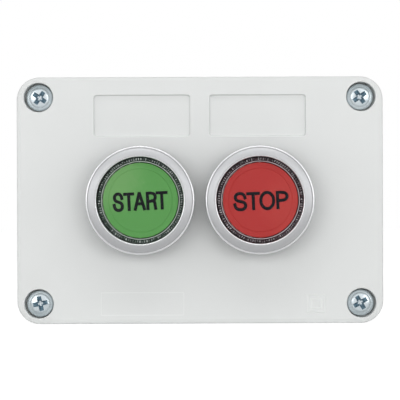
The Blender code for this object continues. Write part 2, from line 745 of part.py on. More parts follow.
def make_button_head(prefix, legend_finish, axis):
    """The pieces of one button that go in from the front."""
    bezel = turned(prefix + "_bezel", bezel_profile(), RING_STEPS, closed=True)
    keep(bezel, SATIN_METAL, axis)
    body = turned(prefix + "_actuator_body", body_profile(), HIDDEN_STEPS, closed=True)
    keep(body, BLACK_NYLON, axis)
    seal_section = [
        (PANEL_HOLE, SEAL_HIGH),
        (FLANGE_RADIUS, SEAL_HIGH),
        (FLANGE_RADIUS, SEAL_LOW),
        (PANEL_HOLE, SEAL_LOW),
    ]
    seal = turned(prefix + "_panel_seal", seal_section, HIDDEN_STEPS, closed=True)
    keep(seal, SEAL_RUBBER, axis)
    cap = turned(prefix + "_lens_cap", cap_profile(), RING_STEPS, closed=False)
    keep(cap, CLEAR_PLASTIC, axis)
    legend = rod(prefix + "_legend_disc", 0, 0, LEGEND_RADIUS, LEGEND_LOW, LEGEND_HIGH, RING_STEPS)
    keep(legend, legend_finish, axis)
    plunger = turned(prefix + "_plunger", plunger_profile(), HIDDEN_STEPS, closed=False)
    keep(plunger, WHITE_NYLON, axis)
    clip = prism(prefix + "_retaining_clip", [clip_outline()], CLIP_LOW, CLIP_HIGH)
    keep(clip, SPRING_STEEL, axis)
    spring_low, spring_high = SHELF_HIGH + SEAT_GAP, HEAD_LOW - SEAT_GAP
    spring = coil(
        prefix + "_return_spring", SPRING_RADIUS, SPRING_WIRE, spring_low, spring_high, SPRING_TURNS
    )
    keep(spring, SPRING_STEEL, axis)


# Fixing and contact block


def hexagon(across_flats):
    """A closed hexagon outline with flats to the left and right."""
    reach = across_flats / math.sqrt(3)
    return arc((0, 0), reach, 30, 330, 5)


def make_fixings(prefix, axis):
    """The nut that clamps the button to the cover, and the collar that carries the block."""
    bore = circle(0, 0, COLLAR_BORE, HIDDEN_STEPS)
    nut_outline = hexagon(2 * (COLLAR_BORE + NUT_WALL))
    keep(prism(prefix + "_mounting_nut", [nut_outline, bore], NUT_LOW, NUT_HIGH), BLACK_NYLON, axis)
    collar_width = 2 * (COLLAR_BORE + COLLAR_CHEEK)
    collar_outline = rectangle(0, 0, collar_width, 2 * COLLAR_Y, COLLAR_ROUND)
    collar = prism(prefix + "_mounting_collar", [collar_outline, bore], COLLAR_LOW, COLLAR_HIGH)
    keep(collar, BLACK_NYLON, axis)


def block_outline():
    """The block's side outline in (y, level), with a hook above and below that grips the collar."""
    hook_tip = ROOM_Y - SEAT_GAP - HOOK_REACH
    half = [
        (BLOCK_Y, BLOCK_LOW),
        (BLOCK_Y, HOOK_HIGH),
        (hook_tip, HOOK_HIGH),
        (hook_tip, HOOK_LOW),
        (ROOM_Y, HOOK_LOW),
        (ROOM_Y, BLOCK_HIGH),
    ]
    return half + [(-y, level) for y, level in reversed(half)]


def make_block_case(prefix, axis):
    """The contact block's housing, open at one side, and the lid that closes it."""
    left = -BLOCK_WIDTH / 2
    lid_inner = BLOCK_WIDTH / 2 - LID_THICKNESS
    block = prism(prefix + "_contact_block", [block_outline()], left, lid_inner - SEAT_GAP, "x")
    keep(block, BLACK_NYLON, axis)
    room_outline = rectangle(0, (ROOM_LOW + ROOM_HIGH) / 2, 2 * ROOM_Y, ROOM_HIGH - ROOM_LOW)
    room = prism(prefix + "_block_room", [room_outline], -ROOM_X, lid_inner + CUT_MARGIN, "x")
    combine(block, cutter(room, axis))
    stem_hole = rod(
        prefix + "_stem_hole", 0, 0, STEM_HOLE, ROOM_HIGH - CUT_MARGIN, BLOCK_HIGH + CUT_MARGIN, SCREW_STEPS
    )
    combine(block, cutter(stem_hole, axis))
    entry = rectangle(ROOM_LOW + SEAT_GAP + WIRE_ENTRY / 2, 0, WIRE_ENTRY, WIRE_ENTRY)
    for side in (-1, 1):
        ends = sorted((side * (ROOM_Y - CUT_MARGIN), side * (BLOCK_Y + CUT_MARGIN)))
        wire_entry = prism(prefix + "_wire_entry", [entry], *ends, "y")
        combine(block, cutter(wire_entry, axis))
        access = rod(
            prefix + "_access",
            0,
            side * TERMINAL_Y,
            TERMINAL_ACCESS_RADIUS,
            BLOCK_LOW - CUT_MARGIN,
            ROOM_LOW + CUT_MARGIN,
            SMALL_STEPS,
        )
        combine(block, cutter(access, axis))
    side_outline = rectangle(0, (BLOCK_LOW + BLOCK_HIGH) / 2, 2 * BLOCK_Y, BLOCK_DEPTH)
    lid = prism(prefix + "_contact_block_lid", [side_outline], lid_inner, BLOCK_WIDTH / 2, "x")
    keep(lid, BLACK_NYLON, axis)


def strip_outline(head_high):
    """A terminal strip's side outline in (y, level): a foot, and a riser where the head is higher."""
    head_low = head_high - STRIP_THICKNESS
    if head_high <= FOOT_HIGH:
        middle = ((STRIP_START + STRIP_END) / 2, (FOOT_LOW + FOOT_HIGH) / 2)
        return rectangle(*middle, STRIP_END - STRIP_START, STRIP_THICKNESS)
    return [
        (STRIP_START, head_high),
        (STRIP_START, head_low),
        (RISER_Y, head_low),
        (RISER_Y, FOOT_LOW),
        (STRIP_END, FOOT_LOW),
        (STRIP_END, FOOT_HIGH),
        (RISER_Y + STRIP_THICKNESS, FOOT_HIGH),
        (RISER_Y + STRIP_THICKNESS, head_high),
    ]


def make_terminals(prefix, head_high, tips_up, axis):
    """The two fixed contacts with their terminal screws."""
    if tips_up:
        tip_ends = (head_high - STRIP_THICKNESS / 2, head_high + TIP_HEIGHT)
    else:
        tip_low = head_high - STRIP_THICKNESS - TIP_HEIGHT
        tip_ends = (tip_low, tip_low + TIP_HEIGHT + STRIP_THICKNESS / 2)
    for side, word in ((1, "upper"), (-1, "lower")):
        outline = [(side * y, level) for y, level in strip_outline(head_high)]
        half_width = STRIP_WIDTH / 2
        strip = prism(f"{prefix}_{word}_terminal", [outline], -half_width, half_width, "x")
        keep(strip, BRASS, axis)
        tip = rod(f"{prefix}_{word}_tip", 0, side * TIP_Y, TIP_RADIUS, *tip_ends, SMALL_STEPS)
        combine(strip, cutter(tip, axis), "UNION")
        y = side * TERMINAL_Y
        hole_radius = TERMINAL_SHANK_RADIUS + SEAT_GAP
        hole = rod(
            f"{prefix}_{word}_screw_hole",
            0,
            y,
            hole_radius,
            FOOT_LOW - CUT_MARGIN,
            FOOT_HIGH + CUT_MARGIN,
            SMALL_STEPS,
        )
        combine(strip, cutter(hole, axis))
        make_terminal_screw(f"{prefix}_{word}_terminal_screw", y, axis)


def make_terminal_screw(name, y, axis):
    """A slotted terminal screw, with its head towards the back of the box."""
    head_high = FOOT_LOW - SEAT_GAP
    head_low = head_high - TERMINAL_HEAD_HEIGHT
    profile = [
        (0.0, FOOT_HIGH + TERMINAL_SHANK),
        (TERMINAL_SHANK_RADIUS, FOOT_HIGH + TERMINAL_SHANK),
        (TERMINAL_SHANK_RADIUS, head_high),
        (TERMINAL_HEAD_RADIUS, head_high),
        (TERMINAL_HEAD_RADIUS, head_low),
        (0.0, head_low),
    ]
    screw = turned(name, profile, SMALL_STEPS, closed=False)
    keep(screw, ZINC_STEEL, axis)
    screw.location.y = y
    long_side = 2 * (TERMINAL_HEAD_RADIUS + CUT_MARGIN)
    slot_outline = rectangle(0, 0, long_side, TERMINAL_SLOT)
    slot = prism(name + "_slot", [slot_outline], head_low - CUT_MARGIN, head_low + TERMINAL_HEAD_HEIGHT / 2)
    combine(screw, cutter(slot, screw))


def make_bridge(prefix, low, axis):
    """The moving bridge, a strip that joins the two fixed contacts."""
    plan = rectangle(0, 0, BRIDGE_WIDTH, 2 * BRIDGE_Y)
    hole = circle(0, 0, PIN_HOLE, SMALL_STEPS)
    bridge = prism(prefix + "_contact_bridge", [plan, hole], low, low + BRIDGE_THICKNESS)
    keep(bridge, BRASS, axis)


def make_open_contact(prefix, axis):
    """The normally open works: the bridge sits on the stem's foot and goes down with it."""
    head_low = OPEN_BRIDGE_LOW - SEAT_GAP - PIN_HEAD_HEIGHT
    profile = [
        (0.0, STEM_HIGH),
        (STEM_RADIUS, STEM_HIGH),
        (STEM_RADIUS, STEM_FLANGE_HIGH),
        (STEM_FLANGE_RADIUS, STEM_FLANGE_HIGH),
        (STEM_FLANGE_RADIUS, STEM_FLANGE_LOW),
        (PIN_RADIUS, STEM_FLANGE_LOW),
        (PIN_RADIUS, head_low + PIN_HEAD_HEIGHT),
        (PIN_HEAD_RADIUS, head_low + PIN_HEAD_HEIGHT),
        (PIN_HEAD_RADIUS, head_low),
        (0.0, head_low),
    ]
    keep(turned(prefix + "_contact_stem", profile, SCREW_STEPS, closed=False), WHITE_NYLON, axis)
    make_bridge(prefix, OPEN_BRIDGE_LOW, axis)
    spring = coil(
        prefix + "_contact_spring",
        CONTACT_SPRING_RADIUS,
        CONTACT_SPRING_WIRE,
        OPEN_BRIDGE_LOW + BRIDGE_THICKNESS + SEAT_GAP,
        STEM_FLANGE_LOW - SEAT_GAP,
        CONTACT_SPRING_TURNS,
    )
    keep(spring, SPRING_STEEL, axis)
    make_terminals(prefix, FOOT_HIGH, True, axis)


def make_closed_contact(prefix, axis):
    """The normally closed works: the spring holds the bridge up, the stem's shoulder pushes it off."""
    shoulder = CLOSED_BRIDGE_LOW + BRIDGE_THICKNESS + CLOSED_LOST_MOTION
    profile = [
        (0.0, STEM_HIGH),
        (STEM_RADIUS, STEM_HIGH),
        (STEM_RADIUS, STEM_FLANGE_HIGH),
        (STEM_FLANGE_RADIUS, STEM_FLANGE_HIGH),
        (STEM_FLANGE_RADIUS, STEM_FLANGE_LOW),
        (STEM_RADIUS, STEM_FLANGE_LOW),
        (STEM_RADIUS, shoulder),
        (PIN_RADIUS, shoulder),
        (PIN_RADIUS, PIN_LOW),
        (0.0, PIN_LOW),
    ]
    keep(turned(prefix + "_contact_stem", profile, SCREW_STEPS, closed=False), WHITE_NYLON, axis)
    make_bridge(prefix, CLOSED_BRIDGE_LOW, axis)
    spring = coil(
        prefix + "_contact_spring",
        CONTACT_SPRING_RADIUS,
        CONTACT_SPRING_WIRE,
        ROOM_LOW + SEAT_GAP,
        CLOSED_BRIDGE_LOW - SEAT_GAP,
        CONTACT_SPRING_TURNS,
    )
    keep(spring, SPRING_STEEL, axis)
    make_terminals(prefix, CLOSED_STRIP_HIGH, False, axis)


def build():
    """Build the whole station."""
    clear_scene()
    frame = axis_empty("drawing_frame", 0.0, 0.0, 0.0, None)
    frame.rotation_euler.x = math.radians(90)
    make_base(frame)
    make_cover(frame)
    make_gasket(frame)
    for (place, (x, y)), turn in zip(corner_places().items(), SCREW_TURNS_DEG):
        make_cover_screw(frame, place, x, y, turn)
    start_axis = axis_empty("start_axis", -BUTTON_X, 0.0, FACE, frame)
    stop_axis = axis_empty("stop_axis", BUTTON_X, 0.0, FACE, frame)
    for prefix, finish, axis in (("start", GREEN_PLASTIC, start_axis), ("stop", RED_PLASTIC, stop_axis)):
        make_button_head(prefix, finish, axis)
        make_fixings(prefix, axis)
        make_block_case(prefix, axis)
    make_open_contact("start", start_axis)
    make_closed_contact("stop", stop_axis)


build()
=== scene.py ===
# %% [markdown]
# # A two-button control station
#
# The object is a small wall box of grey plastic with a green START and a red STOP push button.
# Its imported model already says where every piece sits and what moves. In this lesson the pieces
# that show are made again with finer curves, and every piece gets a finish built from nodes.

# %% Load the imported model
import json
import math

import bmesh
import bpy
from mathutils import Matrix, Vector


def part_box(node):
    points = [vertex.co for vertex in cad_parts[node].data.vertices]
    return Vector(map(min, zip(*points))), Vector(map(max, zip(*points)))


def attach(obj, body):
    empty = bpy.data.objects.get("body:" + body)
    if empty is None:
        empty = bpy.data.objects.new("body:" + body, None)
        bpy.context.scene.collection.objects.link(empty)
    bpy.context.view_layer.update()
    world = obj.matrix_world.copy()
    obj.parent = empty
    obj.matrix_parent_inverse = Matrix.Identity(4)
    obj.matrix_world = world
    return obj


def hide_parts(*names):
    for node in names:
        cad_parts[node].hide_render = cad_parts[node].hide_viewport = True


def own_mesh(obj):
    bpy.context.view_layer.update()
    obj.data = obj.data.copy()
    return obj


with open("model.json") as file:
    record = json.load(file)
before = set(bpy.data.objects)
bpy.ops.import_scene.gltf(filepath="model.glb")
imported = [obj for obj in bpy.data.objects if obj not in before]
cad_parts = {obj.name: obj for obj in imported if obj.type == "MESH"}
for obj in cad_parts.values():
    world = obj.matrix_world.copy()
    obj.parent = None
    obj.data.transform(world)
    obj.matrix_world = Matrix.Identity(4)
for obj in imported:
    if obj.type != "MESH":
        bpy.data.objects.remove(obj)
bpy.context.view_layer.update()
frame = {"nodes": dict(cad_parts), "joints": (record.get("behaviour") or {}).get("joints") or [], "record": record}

# %% [markdown]
# ## Working on a face
#
# Nearly everything on this product is drawn on a flat face: holes, recesses, turned buttons. So
# each feature gets a matrix that stands on its face, with local X to the right, local Y up and
# local Z out of the material. A feature is then drawn flat, and its depth is counted inwards.
# Sizes are written in millimetres, because that is how a moulding drawing gives them.

# %% Millimetres and face matrices
MM = 0.001
WELD = 0.0001 * MM
OUT_OF_FRONT = Matrix.Rotation(math.radians(90), 4, "X")


def on_face(x, y, z, outwards=(0, -1, 0)):
    """A matrix at a point, with local Z pointing outwards and local Y up where that is possible."""
    if tuple(outwards) == (0, -1, 0):
        facing = OUT_OF_FRONT
    else:
        facing = Vector(outwards).to_track_quat("Z", "Y").to_matrix().to_4x4()
    return Matrix.Translation((x, y, z)) @ facing


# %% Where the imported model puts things
SEAT_GAP = 0.3
cover_low, cover_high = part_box("front_cover")
base_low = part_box("rear_base")[0]
FACE_Y = cover_low.y
RIM_Y = base_low.y
HALF_WIDTH = cover_high.x / MM
HALF_HEIGHT = cover_high.z / MM
COVER_DEPTH = (RIM_Y - FACE_Y) / MM - SEAT_GAP
BASE_DEPTH = -RIM_Y / MM
FRONT = on_face(0, FACE_Y, 0)
print("cover", round(COVER_DEPTH, 2), "mm deep, base", round(BASE_DEPTH, 2), "mm deep")

# %% [markdown]
# ## Loops of edges
#
# A moulded shell is a set of walls between outlines. Booleans could cut every hole, but they
# leave slivers that catch the light at rounded edges. Here each outline is one loop of edges,
# walls are bridged from loop to loop, and flat areas are filled between loops. That keeps each
# rounded edge even, all the way round.

# %% Loops drawn on a face


def edges_of(verts):
    """The edges between some vertices, always in the same order."""
    return list(dict.fromkeys(edge for vert in verts for edge in vert.link_edges))


def round_off(work, corners, radius, steps):
    """Round some corners of an outline, and return the vertices that take their place."""
    made = bmesh.ops.bevel(
        work,
        geom=corners,
        offset=radius * MM,
        segments=steps,
        profile=0.5,
        affect="VERTICES",
        material=-1,
    )
    return made["verts"]


def round_loop(work, place, radius, depth, steps=64):
    """A circle, in millimetres, some depth below a face."""
    lowered = place @ Matrix.Translation((0, 0, -depth * MM))
    made = bmesh.ops.create_circle(
        work, cap_ends=False, segments=steps, radius=radius * MM, matrix=lowered
    )
    return edges_of(made["verts"])


def box_loop(work, place, width, height, radius, depth, steps=8):
    """A rounded rectangle, made from one quad whose corners are bevelled."""
    size = Matrix.Diagonal((width * MM, height * MM, 1, 1))
    lowered = place @ Matrix.Translation((0, 0, -depth * MM)) @ size
    made = bmesh.ops.create_grid(work, x_segments=1, y_segments=1, size=0.5, matrix=lowered)
    return open_outline(work, [(made["verts"], radius)], steps)


def open_outline(work, corner_sets, steps):
    """Round the corners of a flat face, each set by its own radius, and keep only its outline."""
    face = corner_sets[0][0][0].link_faces[0]
    others = set(work.faces) - {face}
    for corners, radius in corner_sets:
        if radius > 0:
            round_off(work, corners, radius, steps)
    face = next(f for f in work.faces if f not in others)
    outline = list(face.edges)
    bmesh.ops.delete(work, geom=[face], context="FACES_ONLY")
    return outline


# %% Walls and flats between loops


def flat(work, *loops):
    """Fill the flat area between loops. A loop inside another stays a hole."""
    edges = [edge for loop in loops for edge in loop]
    bmesh.ops.triangle_fill(work, use_beauty=True, use_dissolve=False, edges=edges)


def middle(loop):
    """The middle of a loop."""
    points = [vert.co for edge in loop for vert in edge.verts]
    return sum(points, Vector()) / len(points)


def loft(work, loops):
    """Join each loop to the next, by a bridge, or by a flat where both lie in one plane."""
    for first, second in zip(loops, loops[1:]):
        if (middle(first) - middle(second)).length < WELD:
            flat(work, first, second)
        else:
            bmesh.ops.bridge_loops(work, edges=first + second)
    return loops[0], loops[-1]


def rounded_edge(radius, steps=4):
    """(out, depth) of a quarter circle, from the face round to the wall."""
    angles = [math.pi / 2 * step / steps for step in range(steps + 1)]
    return [(radius * (1 - math.sin(a)), radius * (1 - math.cos(a))) for a in angles]


def fillet(radius, depth, steps=3):
    """(out, depth) of a hollow quarter circle, from the wall round to a floor at that depth."""
    angles = [math.pi / 2 * step / steps for step in range(steps + 1)]
    return [(-radius * (1 - math.cos(a)), depth - radius * (1 - math.sin(a))) for a in angles]


def grown_box(work, place, width, height, corner, steps):
    """A function that draws a rounded rectangle, moved out and down by what it is given."""
    return lambda out, down: box_loop(
        work, place, width + 2 * out, height + 2 * out, corner + out, down, steps
    )


def pocket(work, loop_at, depth, mouth, foot):
    """A pocket's walls, with a rounded mouth and a filleted foot. Returns mouth and floor loops."""
    steps = rounded_edge(mouth) + fillet(foot, depth)
    return loft(work, [loop_at(out, down) for out, down in steps])


# %% [markdown]
# A turned piece is easier: its section is drawn once as a chain of short edges and spun round
# the axis of its face. Corners of the section are bevelled before the spin, because a real lathe
# or mould never leaves a perfect edge, and the small round is what shows as a bright line.

# %% Turned pieces


def turn(work, place, section, steps=96, closed=True, soften=0.0):
    """Spin a section of (radius, depth) points, in millimetres, round the axis of a face."""
    points = [work.verts.new(place @ Vector((out * MM, 0, -down * MM))) for out, down in section]
    for first, second in zip(points, points[1:]):
        work.edges.new((first, second))
    if closed:
        work.edges.new((points[-1], points[0]))
    if soften:
        corners = [vert for vert in points if len(vert.link_edges) == 2]
        rounds = round_off(work, corners, soften, 3)
        points = list(dict.fromkeys([vert for vert in points if vert.is_valid] + rounds))
    bmesh.ops.spin(
        work,
        geom=points + edges_of(points),
        cent=place.translation,
        axis=place.to_3x3() @ Vector((0, 0, 1)),
        angle=math.tau,
        steps=steps,
        use_merge=True,
    )


# %% [markdown]
# ## Finishing a piece
#
# Each finished mesh is closed and has its normals outwards. A weighted-normal modifier lets the
# large flat faces lead the shading, so a face stays flat to the eye right up to its rounded edge.
# Spin leaves its vertices in another order on each run, so every mesh is numbered by place before
# it is used: vertices along one slanting direction, edges and faces by their lowest vertices.

# %% From a bmesh to a piece that rides on its body
NUMBERING = Vector((0.31, 0.57, 0.76))


def number_by_place(work):
    """Put vertices, edges and faces in an order that follows from the shape alone."""
    work.verts.sort(key=lambda vert: vert.co.dot(NUMBERING))
    work.verts.index_update()
    count = len(work.verts)

    def rank(element):
        """One number from the three lowest vertices of an edge or face."""
        first, second, *more = sorted(vert.index for vert in element.verts)
        return (first * count + second) * count + (more[0] if more else 0)

    work.edges.sort(key=rank)
    work.faces.sort(key=rank)


def to_object(name, work, finishes=()):
    """Turn a bmesh into an object in the scene, with its finishes in their order."""
    number_by_place(work)
    mesh = bpy.data.meshes.new(name)
    work.to_mesh(mesh)
    work.free()
    for finish in finishes:
        mesh.materials.append(finish)
    made = bpy.data.objects.new(name, mesh)
    bpy.context.scene.collection.objects.link(made)
    return made


def finish_piece(name, work, finishes, body, replaces=(), crease=40):
    """Close and shade a mesh, and hand it to the body that it moves with."""
    bmesh.ops.remove_doubles(work, verts=work.verts, dist=WELD)
    bmesh.ops.recalc_face_normals(work, faces=work.faces)
    open_edges = sum(1 for edge in work.edges if len(edge.link_faces) != 2)
    piece = to_object(name, work, finishes)
    piece.data.shade_smooth()
    piece.data.set_sharp_from_angle(angle=math.radians(crease))
    weigh = piece.modifiers.new("flat faces lead", "WEIGHTED_NORMAL")
    weigh.keep_sharp = True
    weigh.weight = 100
    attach(piece, body)
    if replaces:
        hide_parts(*replaces)
    print(f"{name}: {len(piece.data.polygons)} faces, {open_edges} open edges")
    return piece


# %% [markdown]
# ## Colours and nodes
#
# Colours are picked on a screen as sRGB hex, while shaders work in linear light, so one function
# converts them. A second one adds any node with its settings and links. A link may start at a
# socket, or at a node, whose first working output is then meant.

# %% Helpers for materials


def colour(code):
    """An sRGB hex colour as linear red, green, blue and alpha."""
    parts = [int(code[i : i + 2], 16) / 255 for i in (1, 3, 5)]
    linear = [p / 12.92 if p <= 0.04045 else ((p + 0.055) / 1.055) ** 2.4 for p in parts]
    return (*linear, 1.0)


def set_inputs(tree, node, inputs):
    """Give inputs of a node a value, or a link from a socket or from another node."""
    for name, value in inputs.items():
        if isinstance(value, bpy.types.Node):
            value = next(output for output in value.outputs if output.enabled)
        if isinstance(value, bpy.types.NodeSocket):
            tree.links.new(value, node.inputs[name])
        else:
            node.inputs[name].default_value = value


def add_node(tree, kind, inputs=None, **settings):
    """Add a node, set its properties, and then its inputs."""
    node = tree.nodes.new("ShaderNode" + kind)
    for name, value in settings.items():
        setattr(node, name, value)
    set_inputs(tree, node, inputs or {})
    return node


def new_finish(name):
    """A material with one Principled shader. Returns material, node tree, shader and coordinates."""
    made = bpy.data.materials.new(name)
    made.use_nodes = True
    tree = made.node_tree
    where = add_node(tree, "TexCoord").outputs["Object"]
    print("finish:", name)
    return made, tree, tree.nodes["Principled BSDF"], where


def per_mm(size):
    """The scale of a procedural texture whose features are this many millimetres apart."""
    return 1 / (size * MM)


# %% [markdown]
# Most of these finishes are one recipe with other amounts. A first pattern carries the tone from
# one colour to another. A second, finer one carries the roughness, and its relief where the real
# surface has any. So the recipe is written once, and each material states its own amounts: the
# size of each pattern in millimetres, its detail, and what it runs between.

# %% A finish whose tone, gloss and relief follow patterns


def patterned(name, tone, values, grain=None, relief=None, contrast=(0.0, 1.0)):
    """A finish from tone (size, detail, colour, colour), grain (size, detail, least, most
    roughness) and relief (depth, strength), with the shader values that are even all over."""
    made, tree, shader, where = new_finish(name)
    size, detail, low, high = tone
    noise = add_node(tree, "TexNoise", {"Vector": where, "Scale": per_mm(size), "Detail": detail})
    part = add_node(
        tree, "MapRange", {"Value": noise, "From Min": contrast[0], "From Max": contrast[1]}
    )
    ends = {"A": colour(low), "B": colour(high)}
    look = {"Base Color": add_node(tree, "Mix", {"Factor": part, **ends}, data_type="RGBA")}
    if grain:
        size, detail, low, high = grain
        noise = add_node(tree, "TexNoise", {"Vector": where, "Scale": per_mm(size), "Detail": detail})
        look["Roughness"] = add_node(tree, "MapRange", {"Value": noise, "To Min": low, "To Max": high})
    if relief:
        depth, strength = relief
        amounts = {"Distance": depth * MM, "Strength": strength}
        look["Normal"] = add_node(tree, "Bump", {"Height": noise, **amounts})
    set_inputs(tree, shader, {**look, **values})
    return made


# %% [markdown]
# ## Finishes of the box
#
# The box is ABS, injection moulded in a spark-eroded mould. The erosion leaves a fine grain, so the plastic has no
# mirror shine, only a soft sheen. Its colour is even, because the pigment is mixed into the granules, with a faint
# flow mottle some 14 mm wide. The faces of the raised lines, the slope round the bare field and the mouths of the
# label recesses get a lighter colour of the same ABS, a painted highlight. Real grain is about 0.1 mm across, too
# fine to show here, so it is drawn at 0.35 mm, and it only breaks up the sheen.

# %% Moulded ABS


def moulded_abs(name, dark, light):
    """Eroded ABS in one shade of light grey."""
    return patterned(
        name,
        tone=(14, 2.0, dark, light),
        values={"IOR": 1.53},
        grain=(0.35, 3.0, 0.42, 0.56),
        relief=(0.02, 0.5),
    )


COVER_ABS = moulded_abs("moulded_light_grey_abs", "#dfe1e0", "#e3e5e4")
BASE_ABS = moulded_abs("moulded_light_grey_abs_base", "#dbdddc", "#dfe1e0")
# A lighter ABS that paints highlights on raised lines, the field's slope and the label mouths.
ABS_PAINTED_HIGHLIGHT = moulded_abs("moulded_light_grey_abs_painted_highlight", "#e7e9e8", "#ebedec")

# %% [markdown]
# ## Front cover
#
# The cover is the face of the product: a shallow shell with two button holes, four sunk screw
# holes, two label recesses and a shallow bare field at the lower left. It could be a cube with
# booleans. It is lofted here instead, sheet by sheet: first the pockets and button holes, then
# the outer wall and the flat face between them all, then the rim with its tongue, and the inside.

# %% Sizes of the box, in millimetres
CORNER = 6.2
EDGE_ROUND, RIM_ROUND = 0.5, 0.2
BAND, BAND_FALL, BAND_LEAD = 1.15, 0.16, (0.1, 0.005)
SIDE_WALL = 3.0
FRONT_WALL = 3.0
SCREW_X = HALF_WIDTH - 6.1
SCREW_Z = HALF_HEIGHT - 5.5
POST_REACH = 5.6
POST_ROUND = 4.0
CAVITY_ROUND = 2.0
SINK_RADIUS, SINK_DEPTH = 4.0, 6.4
SINK_MOUTH, SINK_FOOT = 0.2, 0.1
SINK_OUTWARDS = 0.17
SHANK_HOLE = 2.05
TONGUE_IN, TONGUE_OUT = 1.0, 2.0
TONGUE_LENGTH = (cover_high.y - RIM_Y) / MM + SEAT_GAP
BUTTON_X = 16.25
PANEL_HOLE = 11.15
SCREW_PLACES = {
    "top_left": (-SCREW_X, SCREW_Z),
    "top_right": (SCREW_X, SCREW_Z),
    "bottom_left": (-SCREW_X, -SCREW_Z),
    "bottom_right": (SCREW_X, -SCREW_Z),
}
print("screws", round(2 * SCREW_X, 1), "by", round(2 * SCREW_Z, 1), "mm apart")

# %% Outlines that the cover and the base share


def outer_loop(work, place, inset, depth):
    """The box's outside outline, moved inwards by an inset."""
    width, height = 2 * (HALF_WIDTH - inset), 2 * (HALF_HEIGHT - inset)
    return box_loop(work, place, width, height, CORNER - inset, depth, 12)


def inner_loop(work, place, grow, depth):
    """The box's inside outline, which steps round the four corner posts."""
    wide, tall = HALF_WIDTH - SIDE_WALL + grow, HALF_HEIGHT - SIDE_WALL + grow
    post_x, post_z = SCREW_X - POST_REACH + grow, SCREW_Z - POST_REACH + grow
    quarter = [(wide, post_z), (post_x, post_z), (post_x, tall)]
    outline = quarter + [(-x, z) for x, z in reversed(quarter)]
    outline += [(-x, -z) for x, z in quarter] + [(x, -z) for x, z in reversed(quarter)]
    verts = [work.verts.new(place @ Vector((x * MM, z * MM, -depth * MM))) for x, z in outline]
    bmesh.ops.contextual_create(work, geom=verts)
    posts = [vert for index, vert in enumerate(verts) if index % 3 == 1]
    hollows = [vert for index, vert in enumerate(verts) if index % 3 != 1]
    return open_outline(work, [(hollows, CAVITY_ROUND + grow), (posts, POST_ROUND - grow)], 5)


def rim_step(work, place, out, inner, near, far):
    """A ridge or groove round a rim: along one wall, across, and back. Returns both its edges."""
    steps = ((out, near), (out, far), (inner, far), (inner, near))
    return loft(work, [inner_loop(work, place, grow, depth) for grow, depth in steps])


# %% Front cover: sunk screw holes
work = bmesh.new()
face_loops, rim_loops, inside_loops = [], [], []

for x, z in SCREW_PLACES.values():
    spot = on_face(x * MM, FACE_Y, z * MM)
    sunk = on_face((x + math.copysign(SINK_OUTWARDS, x)) * MM, FACE_Y, z * MM)
    mouth, floor = pocket(
        work,
        lambda out, down: round_loop(work, sunk, SINK_RADIUS + out, down),
        SINK_DEPTH,
        SINK_MOUTH,
        SINK_FOOT,
    )
    shank = [round_loop(work, spot, SHANK_HOLE, depth, 32) for depth in (SINK_DEPTH, COVER_DEPTH)]
    loft(work, shank)
    flat(work, floor, shank[0])
    face_loops.append(mouth)
    rim_loops.append(shank[1])

# %% Front cover: label recesses and the bare field
LABEL = {"width": 26.3, "height": 11.3, "corner": 0.8, "steps": 4}
LABEL_X, LABEL_Z, LABEL_DEPTH = 15.8, 23.14, 1.1
LABEL_MOUTH, LABEL_FOOT = 0.24, 0.3
FIELD = {"width": 22.3, "height": 5.9, "corner": 0.1, "steps": 3}
FIELD_X, FIELD_Z = -15.8, 5.42 - HALF_HEIGHT
FIELD_DEPTH, FIELD_SLOPE = 0.08, 0.24
# Faces that get the painted highlight.
highlit_faces = set()
for side in (-1, 1):
    spot = on_face(side * LABEL_X * MM, FACE_Y, LABEL_Z * MM)
    before = set(work.faces)
    mouth, floor = pocket(
        work, grown_box(work, spot, **LABEL), LABEL_DEPTH, LABEL_MOUTH, LABEL_FOOT
    )
    lip = FACE_Y + 0.5 * LABEL_MOUTH * MM
    highlit_faces |= {f for f in set(work.faces) - before if f.calc_center_median().y < lip}
    face_loops.append(mouth)
    flat(work, floor)

field_at = grown_box(work, on_face(FIELD_X * MM, FACE_Y, FIELD_Z * MM), **FIELD)
before = set(work.faces)
slope = [field_at(FIELD_SLOPE, 0.0), field_at(0.0, FIELD_DEPTH)]
loft(work, slope)
highlit_faces |= set(work.faces) - before
face_loops.append(slope[0])
flat(work, slope[1])
print("pockets:", len(face_loops), "mouths in the face")

# %% [markdown]
# The lower right corner carries two nested squares, moulded as thin raised lines. A raised line
# is a pocket turned round: its wall goes up to a narrow top and down again on the other side.
# Such lines are engraved into the mould after it is eroded. Their faces get a lighter colour, a painted highlight,
# as do the mouths of the label recesses and the slope round the bare field.

# %% Front cover: raised squares
SQUARE_X, SQUARE_Z = 31.6, -28.3
SQUARES = (5.1, 3.0)
LINE_WIDTH, LINE_HEIGHT, LINE_SLOPE = 0.42, 0.12, 0.1
line_steps = [
    (0.0, 0.0),
    (-LINE_SLOPE, -LINE_HEIGHT),
    (LINE_SLOPE - LINE_WIDTH, -LINE_HEIGHT),
    (-LINE_WIDTH, 0.0),
]
spot = on_face(SQUARE_X * MM, FACE_Y, SQUARE_Z * MM)
outside = None
for size in SQUARES:
    square_at = grown_box(work, spot, size, size, 0.0, 1)
    loops = [square_at(out, down) for out, down in line_steps]
    before = set(work.faces)
    loft(work, loops)
    highlit_faces |= set(work.faces) - before
    if outside:
        flat(work, outside, loops[0])
    else:
        face_loops.append(loops[0])
    outside = loops[-1]
flat(work, outside)
print("smooth faces:", len(highlit_faces))

# %% Front cover: button holes, face and outer wall
for side in (-1, 1):
    spot = on_face(side * BUTTON_X * MM, FACE_Y, 0)
    hole = [round_loop(work, spot, PANEL_HOLE, depth, 96) for depth in (0.0, FRONT_WALL)]
    loft(work, hole)
    face_loops.append(hole[0])
    inside_loops.append(hole[1])

